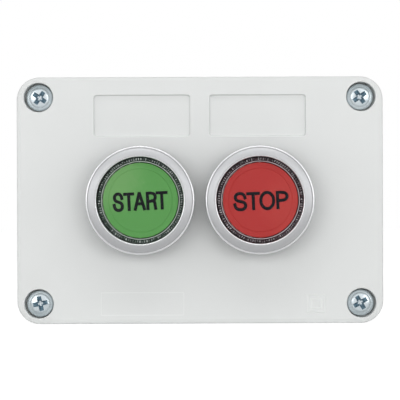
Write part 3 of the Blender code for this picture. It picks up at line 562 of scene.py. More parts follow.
edge = [(BAND, 0.0), (BAND - BAND_LEAD[0], BAND_LEAD[1])]
edge += [(out, BAND_FALL + down) for out, down in rounded_edge(EDGE_ROUND, 5)]
edge += [(out, COVER_DEPTH - down) for out, down in reversed(rounded_edge(RIM_ROUND, 3))]
wall = [outer_loop(work, FRONT, out, down) for out, down in edge]
loft(work, wall)
flat(work, wall[0], *face_loops)

# %% Front cover: rim with its tongue, and inside
tongue_end = COVER_DEPTH + TONGUE_LENGTH
tongue = rim_step(work, FRONT, TONGUE_OUT, TONGUE_IN, COVER_DEPTH, tongue_end)
flat(work, wall[-1], tongue[0], *rim_loops)
inside = [inner_loop(work, FRONT, 0.0, depth) for depth in (COVER_DEPTH, FRONT_WALL)]
loft(work, inside)
flat(work, tongue[-1], inside[0])
flat(work, inside[-1], *inside_loops)
for face in highlit_faces:
    face.material_index = 1
cover_finishes = [COVER_ABS, ABS_PAINTED_HIGHLIGHT]
finish_piece("moulded_front_cover", work, cover_finishes, "station", ["front_cover"])

# %% [markdown]
# ## Rear base
#
# The base is the deep half. Its rim has a groove for the seal, its posts hold the cover screws,
# and its floor has four raised rings with holes for the wall screws. The ends and the underside
# have knockouts: a ring-shaped groove leaves a disc that is broken out for a cable gland. The
# same loops make it, drawn from the rim inwards, and the knockouts are set into its flat sides.

# %% Rear base: rim, groove, posts and outer wall
GROOVE_IN, GROOVE_OUT = 0.7, 2.3
GROOVE_DEPTH = 2.4
BACK_ROUND = 0.8
BORE_DEPTH = 10.5
RIM = on_face(0, RIM_Y, 0)
work = bmesh.new()
rim_loops = []
for x, z in SCREW_PLACES.values():
    spot = on_face(x * MM, RIM_Y, z * MM)
    bore = [round_loop(work, spot, SHANK_HOLE, depth, 32) for depth in (0.0, BORE_DEPTH)]
    loft(work, bore)
    flat(work, bore[1])
    rim_loops.append(bore[0])

groove = rim_step(work, RIM, GROOVE_OUT, GROOVE_IN, 0.0, GROOVE_DEPTH)
edge = rounded_edge(RIM_ROUND, 3)
edge += [(out, BASE_DEPTH - down) for out, down in reversed(rounded_edge(BACK_ROUND, 5))]
wall = [outer_loop(work, RIM, out, down) for out, down in edge]
loft(work, wall)
flat(work, wall[0], groove[0], *rim_loops)

# %% Rear base: floor, rings and wall screw holes
BACK_WALL = 3.0
FIXING_X, FIXING_Z = HALF_WIDTH - 15.0, HALF_HEIGHT - 11.7
FIXING_HOLE, FIXING_ROUND = 2.3, 0.25
FIXING_RING, RING_HEIGHT = 4.4, 1.5
floor_depth = BASE_DEPTH - BACK_WALL
hole_section = [(0.0, floor_depth - RING_HEIGHT)]
hole_section += [(out, BASE_DEPTH - down) for out, down in reversed(rounded_edge(FIXING_ROUND, 3))]
floor_loops, back_loops = [], [wall[-1]]
for x in (-FIXING_X, FIXING_X):
    for z in (-FIXING_Z, FIXING_Z):
        spot = on_face(x * MM, RIM_Y, z * MM)
        levels = (floor_depth, floor_depth - RING_HEIGHT)
        ring = [round_loop(work, spot, FIXING_RING, level, 48) for level in levels]
        loft(work, ring)
        hole = [round_loop(work, spot, FIXING_HOLE + out, down, 48) for out, down in hole_section]
        loft(work, hole)
        flat(work, ring[1], hole[0])
        floor_loops.append(ring[0])
        back_loops.append(hole[-1])
inside = [inner_loop(work, RIM, 0.0, depth) for depth in (0.0, floor_depth)]
loft(work, inside)
flat(work, groove[-1], inside[0])
flat(work, inside[-1], *floor_loops)
flat(work, *back_loops)
print("wall screws", round(2 * FIXING_X, 1), "by", round(2 * FIXING_Z, 1), "mm apart")

# %% Rear base: knockouts in both ends and below
KNOCKOUT_OUT, KNOCKOUT_IN, KNOCKOUT_CUT = 10.2, 9.4, 1.8
KNOCKOUT_ROUND = 0.15
cut = [(KNOCKOUT_OUT + out, down) for out, down in rounded_edge(KNOCKOUT_ROUND, 3)]
cut += [(KNOCKOUT_OUT, KNOCKOUT_CUT), (KNOCKOUT_IN, KNOCKOUT_CUT)]
cut += [(KNOCKOUT_IN - out, down) for out, down in reversed(rounded_edge(KNOCKOUT_ROUND, 3))]
for outwards in ((-1, 0, 0), (1, 0, 0), (0, 0, -1)):
    towards = Vector(outwards)
    reach = (HALF_WIDTH if outwards[0] else HALF_HEIGHT) * MM
    sides = [f for f in work.faces if abs(f.calc_center_median().dot(towards) - reach) < WELD]
    side = max(sides, key=lambda f: f.calc_area())
    border = list(side.edges)
    bmesh.ops.delete(work, geom=[side], context="FACES_ONLY")
    spot = on_face(*(towards * reach + Vector((0, RIM_Y / 2, 0))), outwards)
    rings = [round_loop(work, spot, radius, depth, 96) for radius, depth in cut]
    loft(work, rings)
    flat(work, border, rings[0])
    flat(work, rings[-1])
finish_piece("moulded_rear_base", work, [BASE_ABS], "station", ["rear_base"])

# %% [markdown]
# ## Cover screws
#
# The screws are pan heads of zinc-plated steel with a cross recess, each stopped at its own angle. The plating is
# passivated, which leaves a cool blue tint that shifts over the head in patches about 2 mm wide. In the recess the
# punch leaves it rougher, and there it gets a darker blue, a painted shade, broken by light patches that are
# painted glints. Its crystals are some hundredths of a millimetre across, so they are drawn at 0.12 mm and only
# soften the shine. The head is turned, and a tapered cross is sunk into it.

# %% Zinc plating
ZINC = patterned(
    "zinc_plated_steel",
    tone=(2.0, 2.0, "#d8e5ec", "#eff6f9"),
    values={"Metallic": 1.0},
    grain=(0.12, 2.0, 0.11, 0.25),
    relief=(0.004, 0.6),
)
# In the recess: a darker blue as painted shade, with light patches as painted glints.
ZINC_RECESS_PAINTED_SHADE = patterned(
    "zinc_recess_painted_shade_and_glints",
    tone=(0.5, 2.0, "#40677f", "#c8e0ea"),
    values={"Metallic": 0.45},
    grain=(0.12, 2.0, 0.24, 0.38),
    relief=(0.004, 0.6),
)

# %% A tapered cross, and a cut that is applied at once
# A tenth of the punch stays above the face that it cuts.
PUNCH_ABOVE = 0.1


def cross_tool(place, reach, width, depth, foot):
    """A cross-shaped punch: a cube whose four sides are drawn out, narrowed towards its foot."""
    tool = bmesh.new()
    bmesh.ops.create_cube(tool, size=1.0, matrix=Matrix.Translation((0, 0, PUNCH_ABOVE - 0.5)))
    bmesh.ops.scale(tool, vec=(width, width, depth), verts=tool.verts)
    sides = [face for face in tool.faces if abs(face.normal.z) < 0.5]
    for side in sides:
        end = bmesh.ops.extrude_discrete_faces(tool, faces=[side])["faces"][0]
        bmesh.ops.translate(tool, vec=end.normal * (reach - width / 2), verts=end.verts)
    low = [vert for vert in tool.verts if vert.co.z < -0.5 * depth]
    bmesh.ops.scale(tool, vec=(foot, foot, 1.0), verts=low)
    bmesh.ops.remove_doubles(tool, verts=tool.verts, dist=WELD)
    bmesh.ops.recalc_face_normals(tool, faces=tool.faces)
    bmesh.ops.scale(tool, vec=(MM, MM, MM), verts=tool.verts)
    bmesh.ops.transform(tool, matrix=place, verts=tool.verts)
    return tool


def cut_away(body, tool):
    """Subtract one bmesh from another, and return the result as a new bmesh."""
    shapes = [to_object("cut", work) for work in (body, tool)]
    change = shapes[0].modifiers.new("cut", "BOOLEAN")
    change.object = shapes[1]
    change.operation = "DIFFERENCE"
    change.solver = "EXACT"
    bpy.context.view_layer.update()
    result = bmesh.new()
    result.from_object(shapes[0], bpy.context.evaluated_depsgraph_get())
    for shape in shapes:
        bpy.data.objects.remove(shape, do_unlink=True)
    return result


# %% Outline of a screw
HEAD_RADIUS, HEAD_HEIGHT = 3.6, 2.4
DOME_RADIUS, DOME_EDGE, DOME_STEP, DOME_POINTS = 12.0, 2.85, 0.02, 10
HEAD_RIM = (
    (DOME_EDGE + 0.15, 0.0),
    (HEAD_RADIUS - 0.15, 0.05),
    (HEAD_RADIUS - 0.04, 0.12),
    (HEAD_RADIUS, 0.24),
)
HEAD_TOP = SINK_DEPTH - SEAT_GAP - HEAD_HEIGHT
SHANK_RADIUS, POINT_RADIUS, POINT_LENGTH = 1.75, 0.9, 1.0


def screw_section(end):
    """A screw's (radius, depth) points, from the middle of its head to its end."""
    radii = [DOME_EDGE * step / DOME_POINTS for step in range(DOME_POINTS + 1)]
    head = [(out, DOME_RADIUS - math.sqrt(DOME_RADIUS**2 - out**2)) for out in radii]
    rim = head[-1][1] + DOME_STEP
    head += [(out, rim + down) for out, down in HEAD_RIM]
    head += [(HEAD_RADIUS, HEAD_HEIGHT), (SHANK_RADIUS, HEAD_HEIGHT)]
    section = [(out, HEAD_TOP + down) for out, down in head]
    return section + [(SHANK_RADIUS, end - POINT_LENGTH), (POINT_RADIUS, end), (0.0, end)]


# %% The four screws
CROSS = {"reach": 2.3, "width": 1.35, "depth": 2.2, "foot": 0.3}
RECESS_REACH, RECESS_STEEP = 2.1, -0.85
HEAD_SOFTEN = 0.03
SCREW_TURNS = {"top_left": -35, "top_right": 35, "bottom_left": 12, "bottom_right": 30}
for corner, (x, z) in SCREW_PLACES.items():
    node = "cover_screw_" + corner
    spot = on_face(x * MM, FACE_Y, z * MM)
    head = bmesh.new()
    section = screw_section((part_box(node)[1].y - FACE_Y) / MM)
    turn(head, spot, section, 64, closed=False, soften=HEAD_SOFTEN)
    bmesh.ops.remove_doubles(head, verts=head.verts, dist=WELD)
    bmesh.ops.recalc_face_normals(head, faces=head.faces)
    angle = Matrix.Rotation(math.radians(SCREW_TURNS[corner]), 4, "Z")
    punch_place = spot @ angle @ Matrix.Translation((0, 0, -HEAD_TOP * MM))
    work = cut_away(head, cross_tool(punch_place, **CROSS))
    for face in work.faces:
        local = (spot.inverted() @ face.calc_center_median()) / MM
        near = local.xy.length < RECESS_REACH and local.z > -(HEAD_TOP + RECESS_REACH)
        if near and face.normal.y > RECESS_STEEP:
            face.material_index = 1
    zinc = [ZINC, ZINC_RECESS_PAINTED_SHADE]
    finish_piece("zinc_" + node, work, zinc, "station", [node], 30)

# %% [markdown]
# ## Bezels
#
# Each bezel is a plastic ring with satin chrome plating. Its face is gently crowned, a hairline
# groove runs round near the outside, and both edges are rounded enough to catch a bright line.
# The ring is blasted before it is plated, so it isn't quite a mirror: the texture spreads what it reflects into
# one soft grey. That texture is about 0.05 mm fine, and is drawn at 0.3 mm to show at all. Both edges get a
# lighter, glossier colour, a painted highlight for their thin light lines. Down its side the ring is painted
# darker towards the cover, a painted shade for the narrow gap between the bezels.

# %% Satin plating with painted shade, and painted edge highlights
SHADE_TOP, SHADE_LOW = 9.6, 6.0


def satin_plating():
    """Satin chrome over blasted plastic: soft reflections, and painted shade that darkens it down the side."""
    made, tree, shader, where = new_finish("satin_chrome_plating")
    blast = add_node(tree, "TexNoise", {"Vector": where, "Scale": per_mm(0.3), "Detail": 3.0})
    ends = {"A": colour("#b8b9bb"), "B": colour("#cccdcf")}
    bright = add_node(tree, "Mix", {"Factor": blast, **ends}, data_type="RGBA")
    outwards = add_node(tree, "SeparateXYZ", {"Vector": where}).outputs["Y"]
    side = {"From Min": FACE_Y - SHADE_TOP * MM, "From Max": FACE_Y - SHADE_LOW * MM}
    # Painted shade: down the side the colour turns darker towards the cover, for the narrow gap between the
    # bezels.
    painted_shade_down_side = add_node(
        tree, "MapRange", {"Value": outwards, **side}, interpolation_type="SMOOTHSTEP"
    )
    ends = {"A": bright, "B": colour("#77777b")}
    tone = add_node(tree, "Mix", {"Factor": painted_shade_down_side, **ends}, data_type="RGBA")
    gloss = add_node(tree, "MapRange", {"Value": blast, "To Min": 0.3, "To Max": 0.4})
    relief = add_node(tree, "Bump", {"Height": blast, "Distance": 0.012 * MM, "Strength": 0.5})
    look = {"Base Color": tone, "Metallic": 0.85, "Roughness": gloss, "Normal": relief}
    set_inputs(tree, shader, look)
    return made


SATIN = satin_plating()
EDGE_HIGHLIGHT = patterned(
    "bezel_edge_painted_highlight",
    tone=(0.5, 2.0, "#e2e3e5", "#f2f3f5"),
    values={"Metallic": 0.9},
    grain=(0.5, 2.0, 0.2, 0.3),
)

# %% The two bezels
BEZEL_BORE, BEZEL_RADIUS, BEZEL_HIGH = 11.83, 14.75, 10.6
INNER_ROUND, LIP_ROUND, LIP_EASE = 0.3, 0.2, 0.06
SKIRT_INNER, SHOULDER = 14.2, 4.5
FACE_IN, FACE_OUT = BEZEL_BORE + INNER_ROUND, 14.05
CROWN, CROWN_CURVE, CROWN_STEPS = 0.5, 1.6, 10
HAIRLINE, HAIRLINE_DEPTH, HAIRLINE_SLANT = 0.28, 0.4, 0.02
BRIGHT_DEPTH = 0.15
BUTTON_SIDES = {"start": -1, "stop": 1}


def standing(section):
    """Turn (radius, height) points over a face into (radius, depth) points."""
    return [(out, -up) for out, up in section]


def bezel_section():
    """The bezel's section: crowned face, hairline groove, lip, skirt, shoulder and bore."""
    low = BEZEL_HIGH - CROWN
    section = []
    for step in range(CROWN_STEPS + 1):
        part = step / CROWN_STEPS
        out = FACE_IN + (FACE_OUT - FACE_IN) * part
        section.append((out, BEZEL_HIGH - CROWN * part**CROWN_CURVE))
    section += [
        (FACE_OUT + HAIRLINE_SLANT, low - HAIRLINE_DEPTH),
        (FACE_OUT + HAIRLINE - HAIRLINE_SLANT, low - HAIRLINE_DEPTH),
        (FACE_OUT + HAIRLINE, low),
        (BEZEL_RADIUS - LIP_ROUND, low),
        (BEZEL_RADIUS - LIP_EASE, low - LIP_EASE),
        (BEZEL_RADIUS, low - LIP_ROUND),
        (BEZEL_RADIUS, SEAT_GAP),
        (SKIRT_INNER, SEAT_GAP),
        (SKIRT_INNER, SHOULDER),
        (BEZEL_BORE, SHOULDER),
    ]
    inner = [(BEZEL_BORE + out, BEZEL_HIGH - down) for out, down in rounded_edge(INNER_ROUND)]
    return standing(section + inner[:0:-1])


for prefix, side in BUTTON_SIDES.items():
    work = bmesh.new()
    spot = on_face(side * BUTTON_X * MM, FACE_Y, 0)
    turn(work, spot, bezel_section(), 128)
    # Faces of both edges get the lighter colour of the painted highlight.
    for face in work.faces:
        local = (spot.inverted() @ face.calc_center_median()) / MM
        on_edge = not FACE_IN < local.xy.length < FACE_OUT + HAIRLINE
        if local.z > BEZEL_HIGH - CROWN - BRIGHT_DEPTH and on_edge:
            face.material_index = 1
    looks = [SATIN, EDGE_HIGHLIGHT]
    node = prefix + "_bezel"
    finish_piece(prefix + "_satin_bezel", work, looks, "station", [node], 50)

# %% [markdown]
# ## Caps
#
# A clear acrylic cap closes each button. Its plate is thin and flat. Its skirt has a ring of fine teeth that grip
# the plunger, and most light that enters there never finds its way back. So the skirt reads as a dark ring, tinted
# by the legend beside it, in which each tooth shows one lit flank. The plate is therefore a clear piece. The skirt
# is a second piece whose dark colours are painted shade, tinted like a painted reflection of the legend, with a
# painted glint on one flank of each tooth. A third piece is a pale ring, a painted highlight on the edge of the
# pocket that the disc lies in.

# %% Clear acrylic, and the skirt's painted shade and light


def clear_acrylic():
    """Polished acrylic: clear from straight ahead, and a mirror where it is seen at a slant."""
    made, tree, shader, where = new_finish("polished_clear_acrylic")
    polish = add_node(tree, "TexNoise", {"Vector": where, "Scale": per_mm(6.0), "Detail": 1.0})
    gloss = add_node(tree, "MapRange", {"Value": polish, "To Min": 0.03, "To Max": 0.08})
    slant = add_node(tree, "LayerWeight", {"Blend": 0.1}).outputs["Fresnel"]
    cover = add_node(tree, "MapRange", {"Value": slant, "To Min": 0.03, "To Max": 0.6})
    look = {"Base Color": colour("#141816"), "IOR": 1.49, "Roughness": gloss, "Alpha": cover}
    set_inputs(tree, shader, look)
    made.surface_render_method = "BLENDED"
    return made


def painted_acrylic(name, dark, light, patch=0.45, contrast=(0.0, 1.0)):
    """Acrylic seen edge on, painted: its tones stand for the light lost in it as painted shade, and for the light
    that comes back as painted highlight.
    """
    values = {"Roughness": 0.2, "IOR": 1.49}
    return patterned(name, (patch, 3.0, dark, light), values, contrast=contrast)


ACRYLIC = clear_acrylic()
SKIRT_PAINTED_SHADE = {
    "start": painted_acrylic("acrylic_skirt_painted_shade_over_green", "#18221c", "#56635c"),
    "stop": painted_acrylic("acrylic_skirt_painted_shade_over_red", "#1e1216", "#56464b"),
}
# The lit flanks get a painted glint, broken up unevenly by a noise pattern.
PAINTED_GLINTS = {"patch": 0.9, "contrast": (0.42, 0.66)}
TEETH_PAINTED_GLINT = {
    "start": painted_acrylic("acrylic_teeth_painted_glint_over_green", "#4c5a52", "#e2eae5", **PAINTED_GLINTS),
    "stop": painted_acrylic("acrylic_teeth_painted_glint_over_red", "#4e4146", "#d8d2d4", **PAINTED_GLINTS),
}
# A pale ring on the pocket's edge: a painted highlight for light coming back out of the acrylic.
POCKET_HIGHLIGHTS = {
    "start": painted_acrylic("acrylic_pocket_edge_painted_highlight_over_green", "#b4c0b7", "#ccd6cf"),
    "stop": painted_acrylic("acrylic_pocket_edge_painted_highlight_over_red", "#bcadb2", "#d2c4c9"),
}

# %% Sections of a cap, from heights over the cover's face
CAP_RADIUS, CAP_TOP, PLATE_BOTTOM = 11.68, 10.2, 9.0
PLATE_ROUND, PLATE_EASE = 0.25, 0.07
POCKET_RADIUS, ROOT_IN, ROOT_OUT, SKIRT_RADIUS = 10.66, 10.9, 11.5, 11.65
SKIRT_TOP, SKIRT_BOTTOM = PLATE_BOTTOM - 0.05, 6.8
RIM_DROP, ROOT_DROP, POCKET_DROP, SKIRT_EASE = 0.4, 0.3, 0.5, 0.06
EDGE_OUT, EDGE_IN, EDGE_BOTTOM = POCKET_RADIUS - 0.01, 10.42, 8.75
EDGE_EASE, EDGE_FALL, EDGE_SLANT = 0.04, 0.05, 0.06
PLATE = [
    (0.0, CAP_TOP),
    (CAP_RADIUS - PLATE_ROUND, CAP_TOP),
    (CAP_RADIUS - PLATE_EASE, CAP_TOP - PLATE_EASE),
    (CAP_RADIUS, CAP_TOP - PLATE_ROUND),
    (CAP_RADIUS, PLATE_BOTTOM),
    (0.0, PLATE_BOTTOM),
]
SKIRT = [
    (SKIRT_RADIUS, SKIRT_BOTTOM),
    (SKIRT_RADIUS, SKIRT_TOP - RIM_DROP),
    (ROOT_OUT + SKIRT_EASE, SKIRT_TOP - RIM_DROP),
    (ROOT_OUT, SKIRT_TOP - ROOT_DROP),
    (ROOT_IN, SKIRT_TOP - ROOT_DROP),
    (POCKET_RADIUS + SKIRT_EASE, SKIRT_TOP - POCKET_DROP),
    (POCKET_RADIUS, SKIRT_TOP - POCKET_DROP),
    (POCKET_RADIUS, SKIRT_BOTTOM),
]
POCKET_EDGE = [
    (EDGE_OUT, SKIRT_TOP),
    (EDGE_OUT - EDGE_EASE, SKIRT_TOP + EDGE_EASE),
    (EDGE_IN + EDGE_SLANT, SKIRT_TOP + EDGE_EASE),
    (EDGE_IN, SKIRT_TOP - EDGE_FALL),
    (EDGE_IN, EDGE_BOTTOM),
    (EDGE_OUT, EDGE_BOTTOM),
]
print("plate", round(CAP_TOP - PLATE_BOTTOM, 2), "mm thick, cap", 2 * CAP_RADIUS, "mm across")

# %% The two caps
TEETH, TOOTH_HEIGHT = 110, 0.28
TOUCH = 0.01
# Both heads stand a little to the right in their bezels.
PLAY = 0.12
HEADS = {
    prefix: on_face((side * BUTTON_X + PLAY) * MM, FACE_Y, 0)
    for prefix, side in BUTTON_SIDES.items()
}


def raise_teeth(work, spot):
    """Lift every second spoke of the root ring, and give one flank of each tooth its painted glint."""
    back = spot.inverted()
    tips = []
    for vert in work.verts:
        local = (back @ vert.co).xy / MM
        spoke = round(math.atan2(local.y, local.x) * TEETH / math.pi)
        if ROOT_IN - TOUCH < local.length < ROOT_OUT + TOUCH and spoke % 2:
            tips.append(vert)
    bmesh.ops.translate(work, vec=(0, -TOOTH_HEIGHT * MM, 0), verts=tips)
    work.normal_update()
    for face in {face for vert in tips for face in vert.link_faces}:
        local = (back @ face.calc_center_median()).xy / MM
        along = local.cross((back.to_3x3() @ face.normal).xy)
        if ROOT_IN < local.length < ROOT_OUT and along > 0:
            face.material_index = 1


for prefix, spot in HEADS.items():
    body = prefix + "_button"
    work = bmesh.new()
    turn(work, spot, standing(PLATE), 96, closed=False)
    node = prefix + "_lens_cap"
    finish_piece(prefix + "_clear_cap", work, [ACRYLIC], body, [node])

    work = bmesh.new()
    turn(work, spot, standing(SKIRT), 2 * TEETH)
    raise_teeth(work, spot)
    looks = [SKIRT_PAINTED_SHADE[prefix], TEETH_PAINTED_GLINT[prefix]]
    finish_piece(prefix + "_cap_skirt", work, looks, body, crease=15)

    work = bmesh.new()
    turn(work, spot, standing(POCKET_EDGE), 96)
    finish_piece(prefix + "_cap_pocket_highlight", work, [POCKET_HIGHLIGHTS[prefix]], body)

# %% [markdown]
# ## Legends
#
# Under each clear cap lies a disc of tinted ABS with a printed word. START and STOP only say what the buttons do,
# so the words are kept, in a plain letter. Each letter is set to its own width and the whole word sits slightly
# turned, as the disc does in its cap. Round a point near the rim the colour is lighter: a painted highlight,
# standing for a soft reflection of a lamp in the clear cap. The ink is screen printed, so it is matt and dense,
# with a fine speckle that is drawn at 0.2 mm.

# %% Printed discs and ink
HIGHLIGHT_NEAR, HIGHLIGHT_FAR = 9.0, 14.0


def legend_plastic(name, highlit, deep, highlight_centre):
    """Tinted plastic with a mottle, lighter round one point near the rim: a painted highlight."""
    made, tree, shader, where = new_finish(name)
    mottle = add_node(tree, "TexNoise", {"Vector": where, "Scale": per_mm(0.8), "Detail": 4.0})
    uneven = add_node(tree, "MapRange", {"Value": mottle, "To Min": 0.85, "To Max": 1.15})
    highlight_point = (highlight_centre[0] * MM, FACE_Y, highlight_centre[1] * MM)
    highlight_distance = add_node(tree, "VectorMath", {0: where, 1: highlight_point}, operation="DISTANCE")
    highlight_distance = add_node(tree, "Math", {0: highlight_distance.outputs["Value"], 1: uneven}, operation="MULTIPLY")
    reach = {"From Min": HIGHLIGHT_NEAR * MM, "From Max": HIGHLIGHT_FAR * MM}
    spread = add_node(tree, "MapRange", {"Value": highlight_distance, **reach}, interpolation_type="SMOOTHSTEP")
    ends = {"A": colour(highlit), "B": colour(deep)}
    tone = add_node(tree, "Mix", {"Factor": spread, **ends}, data_type="RGBA")
    relief = add_node(tree, "Bump", {"Height": mottle, "Distance": 0.01 * MM, "Strength": 0.3})
    look = {"Base Color": tone, "Normal": relief}
    even = {"Roughness": 0.5, "IOR": 1.53, "Specular IOR Level": 0.25}
    set_inputs(tree, shader, {**look, **even})
    return made


# Each disc's first colour and point give its painted highlight.
LEGENDS = {
    "start": legend_plastic("green_legend_plastic", "#76ad68", "#61a458", (-24.0, 6.0)),
    "stop": legend_plastic("red_legend_plastic", "#c1413d", "#bd3937", (25.5, -1.5)),
}
INK = patterned(
    "black_screen_ink",
    tone=(0.2, 2.0, "#0f0e14", "#19181f"),
    values={"Roughness": 0.6, "Specular IOR Level": 0.2},
)

# %% The two discs
DISC_RADIUS, DISC_TOP, DISC_BOTTOM, DISC_ROUND = 10.2, 8.7, 8.1, 0.1
DISC_GROOVE = [(8.55, 0.0), (8.62, 0.08), (8.7, 0.08), (8.77, 0.0)]
section = [(0.0, DISC_TOP)]
section += [(out, DISC_TOP - down) for out, down in DISC_GROOVE]
section += [(DISC_RADIUS - DISC_ROUND, DISC_TOP), (DISC_RADIUS, DISC_TOP - DISC_ROUND)]
section += [(DISC_RADIUS, DISC_BOTTOM), (0.0, DISC_BOTTOM)]
for prefix, spot in HEADS.items():
    work = bmesh.new()
    turn(work, spot, standing(section), 96, closed=False)
    name, body, node = prefix + "_printed_disc", prefix + "_button", prefix + "_legend_disc"
    finish_piece(name, work, [LEGENDS[prefix]], body, [node])

# %% [markdown]
# The words are printed in a plain block letter with one even stroke. A font object would be quick,
# but stretching it to these widths also stretches its strokes. So each letter is drawn as a few
# centre lines, which a round bevel turns into strokes of one width, and the result is flattened
# to the thickness of ink. Coordinates run from -0.5 to 0.5 over the letter's own box.

# %% Centre lines of the letters
BOWL = [(-0.5, 0.5), (0.0, 0.5), (0.33, 0.44), (0.5, 0.24), (0.33, 0.04)]
BOWL += [(0.0, -0.02), (-0.5, -0.02)]
SNAKE = [(0.45, 0.22), (0.33, 0.42), (0.0, 0.5), (-0.33, 0.43), (-0.45, 0.25), (-0.3, 0.08)]
SNAKE += [(0.0, 0.01), (0.36, -0.08), (0.5, -0.26), (0.36, -0.44), (0.0, -0.5)]
SNAKE += [(-0.37, -0.41), (-0.5, -0.18)]
RING = [(0.0, 0.5), (0.36, 0.35), (0.5, 0.0), (0.36, -0.35)]
RING += [(-x, -y) for x, y in RING]
STEM = [(-0.5, 0.5), (-0.5, -0.5)]
LETTERS = {
    "S": [SNAKE],
    "T": [[(-0.5, 0.5), (0.5, 0.5)], [(0.0, 0.5), (0.0, -0.5)]],
    "A": [[(-0.5, -0.5), (-0.03, 0.5)], [(0.5, -0.5), (0.03, 0.5)], [(-0.26, -0.16), (0.26, -0.16)]],
    "R": [STEM, BOWL, [(0.1, -0.02), (0.38, -0.1), (0.44, -0.32), (0.5, -0.5)]],
    "O": [RING],
    "P": [STEM, BOWL],
}
INK_THICKNESS = 0.03


def letter_mesh(character, width, height, stroke):
    """A letter drawn in strokes of one width, in millimetres, as a thin solid round the origin."""
    lines = bpy.data.curves.new("letter", "CURVE")
    lines.dimensions = "3D"
    lines.bevel_depth = stroke / 2
    lines.bevel_resolution = 2
    lines.use_fill_caps = True
    box = Vector((width - stroke, height - stroke, 0))
    for line in LETTERS[character]:
        points = [Vector((x * box.x, y * box.y, 0)) for x, y in line]
        closed = line is RING
        curved = len(points) > 2
        if not closed:
            for end, inner in ((0, 1), (-1, -2)):
                points[end] += (points[end] - points[inner]).normalized() * stroke / 2
        spline = lines.splines.new("BEZIER")
        spline.bezier_points.add(len(points) - 1)
        spline.use_cyclic_u = closed
        spline.resolution_u = 8 if curved else 1
        for knot, point in zip(spline.bezier_points, points):
            knot.co = point
            knot.handle_left_type = knot.handle_right_type = "AUTO" if curved else "VECTOR"
    drawn = bpy.data.objects.new("letter", lines)
    bpy.context.scene.collection.objects.link(drawn)
    bpy.context.view_layer.update()
    view = bpy.context.evaluated_depsgraph_get()
    mesh = bpy.data.meshes.new_from_object(drawn.evaluated_get(view))
    mesh.transform(Matrix.Diagonal((1.0, 1.0, INK_THICKNESS / stroke, 1.0)))
    bpy.data.objects.remove(drawn)
    return mesh


# %% The two words
LETTER_HEIGHT = {"start": 5.0, "stop": 4.95}
ROUND_LETTERS, OVERSHOOT = "SO", 1.06
WORD_TILT = {"start": 2.4, "stop": 2.2}
WORD_MIDDLE = {"start": (-0.02, -0.24), "stop": (0.19, -0.22)}
STROKE = {"start": 0.86, "stop": 0.87}
WORDS = {
    "start": (("S", -6.0, 3.0), ("T", -3.1, 3.0), ("A", -0.22, 3.3), ("R", 3.02, 2.95), ("T", 5.84, 3.25)),
    "stop": (("S", -5.68, 3.72), ("T", -2.12, 3.7), ("O", 1.65, 4.3), ("P", 5.76, 3.45)),
}
for prefix, spot in HEADS.items():
    work = bmesh.new()
    for character, middle_x, width in WORDS[prefix]:
        before = set(work.verts)
        height = LETTER_HEIGHT[prefix] * (OVERSHOOT if character in ROUND_LETTERS else 1.0)
        work.from_mesh(letter_mesh(character, width, height, STROKE[prefix]))
        verts = [vert for vert in work.verts if vert not in before]
        bmesh.ops.translate(work, vec=(middle_x, 0, 0), verts=verts)
    tilt = Matrix.Rotation(math.radians(WORD_TILT[prefix]), 4, "Z")
    lift = Matrix.Translation((*WORD_MIDDLE[prefix], DISC_TOP + INK_THICKNESS / 2))
    on_disc = spot @ Matrix.Scale(MM, 4) @ lift @ tilt
    bmesh.ops.transform(work, matrix=on_disc, verts=work.verts)
    finish_piece(prefix + "_printed_word", work, [INK], prefix + "_button")

# %% [markdown]
# ## Works inside
#
# The rest is hidden in the closed box. All but the springs are right as they are, so each keeps
# its solid and only gets the finish of its own material. Barrels, nuts and contact blocks are
# black nylon, plungers and stems white acetal, and the seals nitrile rubber. All three are
# moulded and take the fine grain of their mould, so they are matt, rubber most of all. Spring
# steel is drawn through a die, which leaves grey lines with a dull shine. Brass is stamped from
# sheet, and stains in warm patches some 3 mm wide. Grain and drawing lines are finer than 0.1 mm,
# and are drawn at 0.4 and 0.15 mm.

# %% Finishes of the works


def moulded_part(name, dark, light, smooth, rough):
    """A plastic or rubber moulding with an even grain, from its tones and range of roughness."""
    grain = (0.4, 3.0)
    return patterned(
        name,
        tone=(*grain, dark, light),
        values={"IOR": 1.53},
        grain=(*grain, smooth, rough),
        relief=(0.015, 0.5),
    )


BLACK_NYLON = moulded_part("moulded_black_nylon", "#1e1e20", "#2a2a2c", 0.44, 0.58)
WHITE_ACETAL = moulded_part("moulded_white_acetal", "#dcdcd6", "#e6e6e0", 0.34, 0.48)
NITRILE = moulded_part("moulded_nitrile_rubber", "#1a1a1a", "#262626", 0.69, 0.83)
SPRING_WIRE = patterned(
    "drawn_spring_steel",
    tone=(0.15, 2.0, "#9a9a9e", "#c0c0c4"),
    values={"Metallic": 1.0},
    grain=(0.15, 2.0, 0.25, 0.4),
)
BRASS = patterned(
    "stamped_brass",
    tone=(3.0, 4.0, "#c39a4c", "#d9b768"),
    values={"Metallic": 1.0},
    grain=(3.0, 4.0, 0.24, 0.42),
)

# %% [markdown]
# ## Springs
# A return spring stands round each plunger's rod, and a smaller spring drives each contact bridge. They are
# hard-drawn steel wire, wound on a mandrel, with one closed turn at both ends. A curve with a round bevel could
# draw them. Here the wire's section is spun and lifted at once, so that the pitch can change from turn to turn. A
# spring gets shorter as its button goes in. The travel at both of its ends is read from the joints, but is not
# used: each spring is drawn at its rest length.
# each one is squashed by that joint: both of its ends follow whatever they press on.

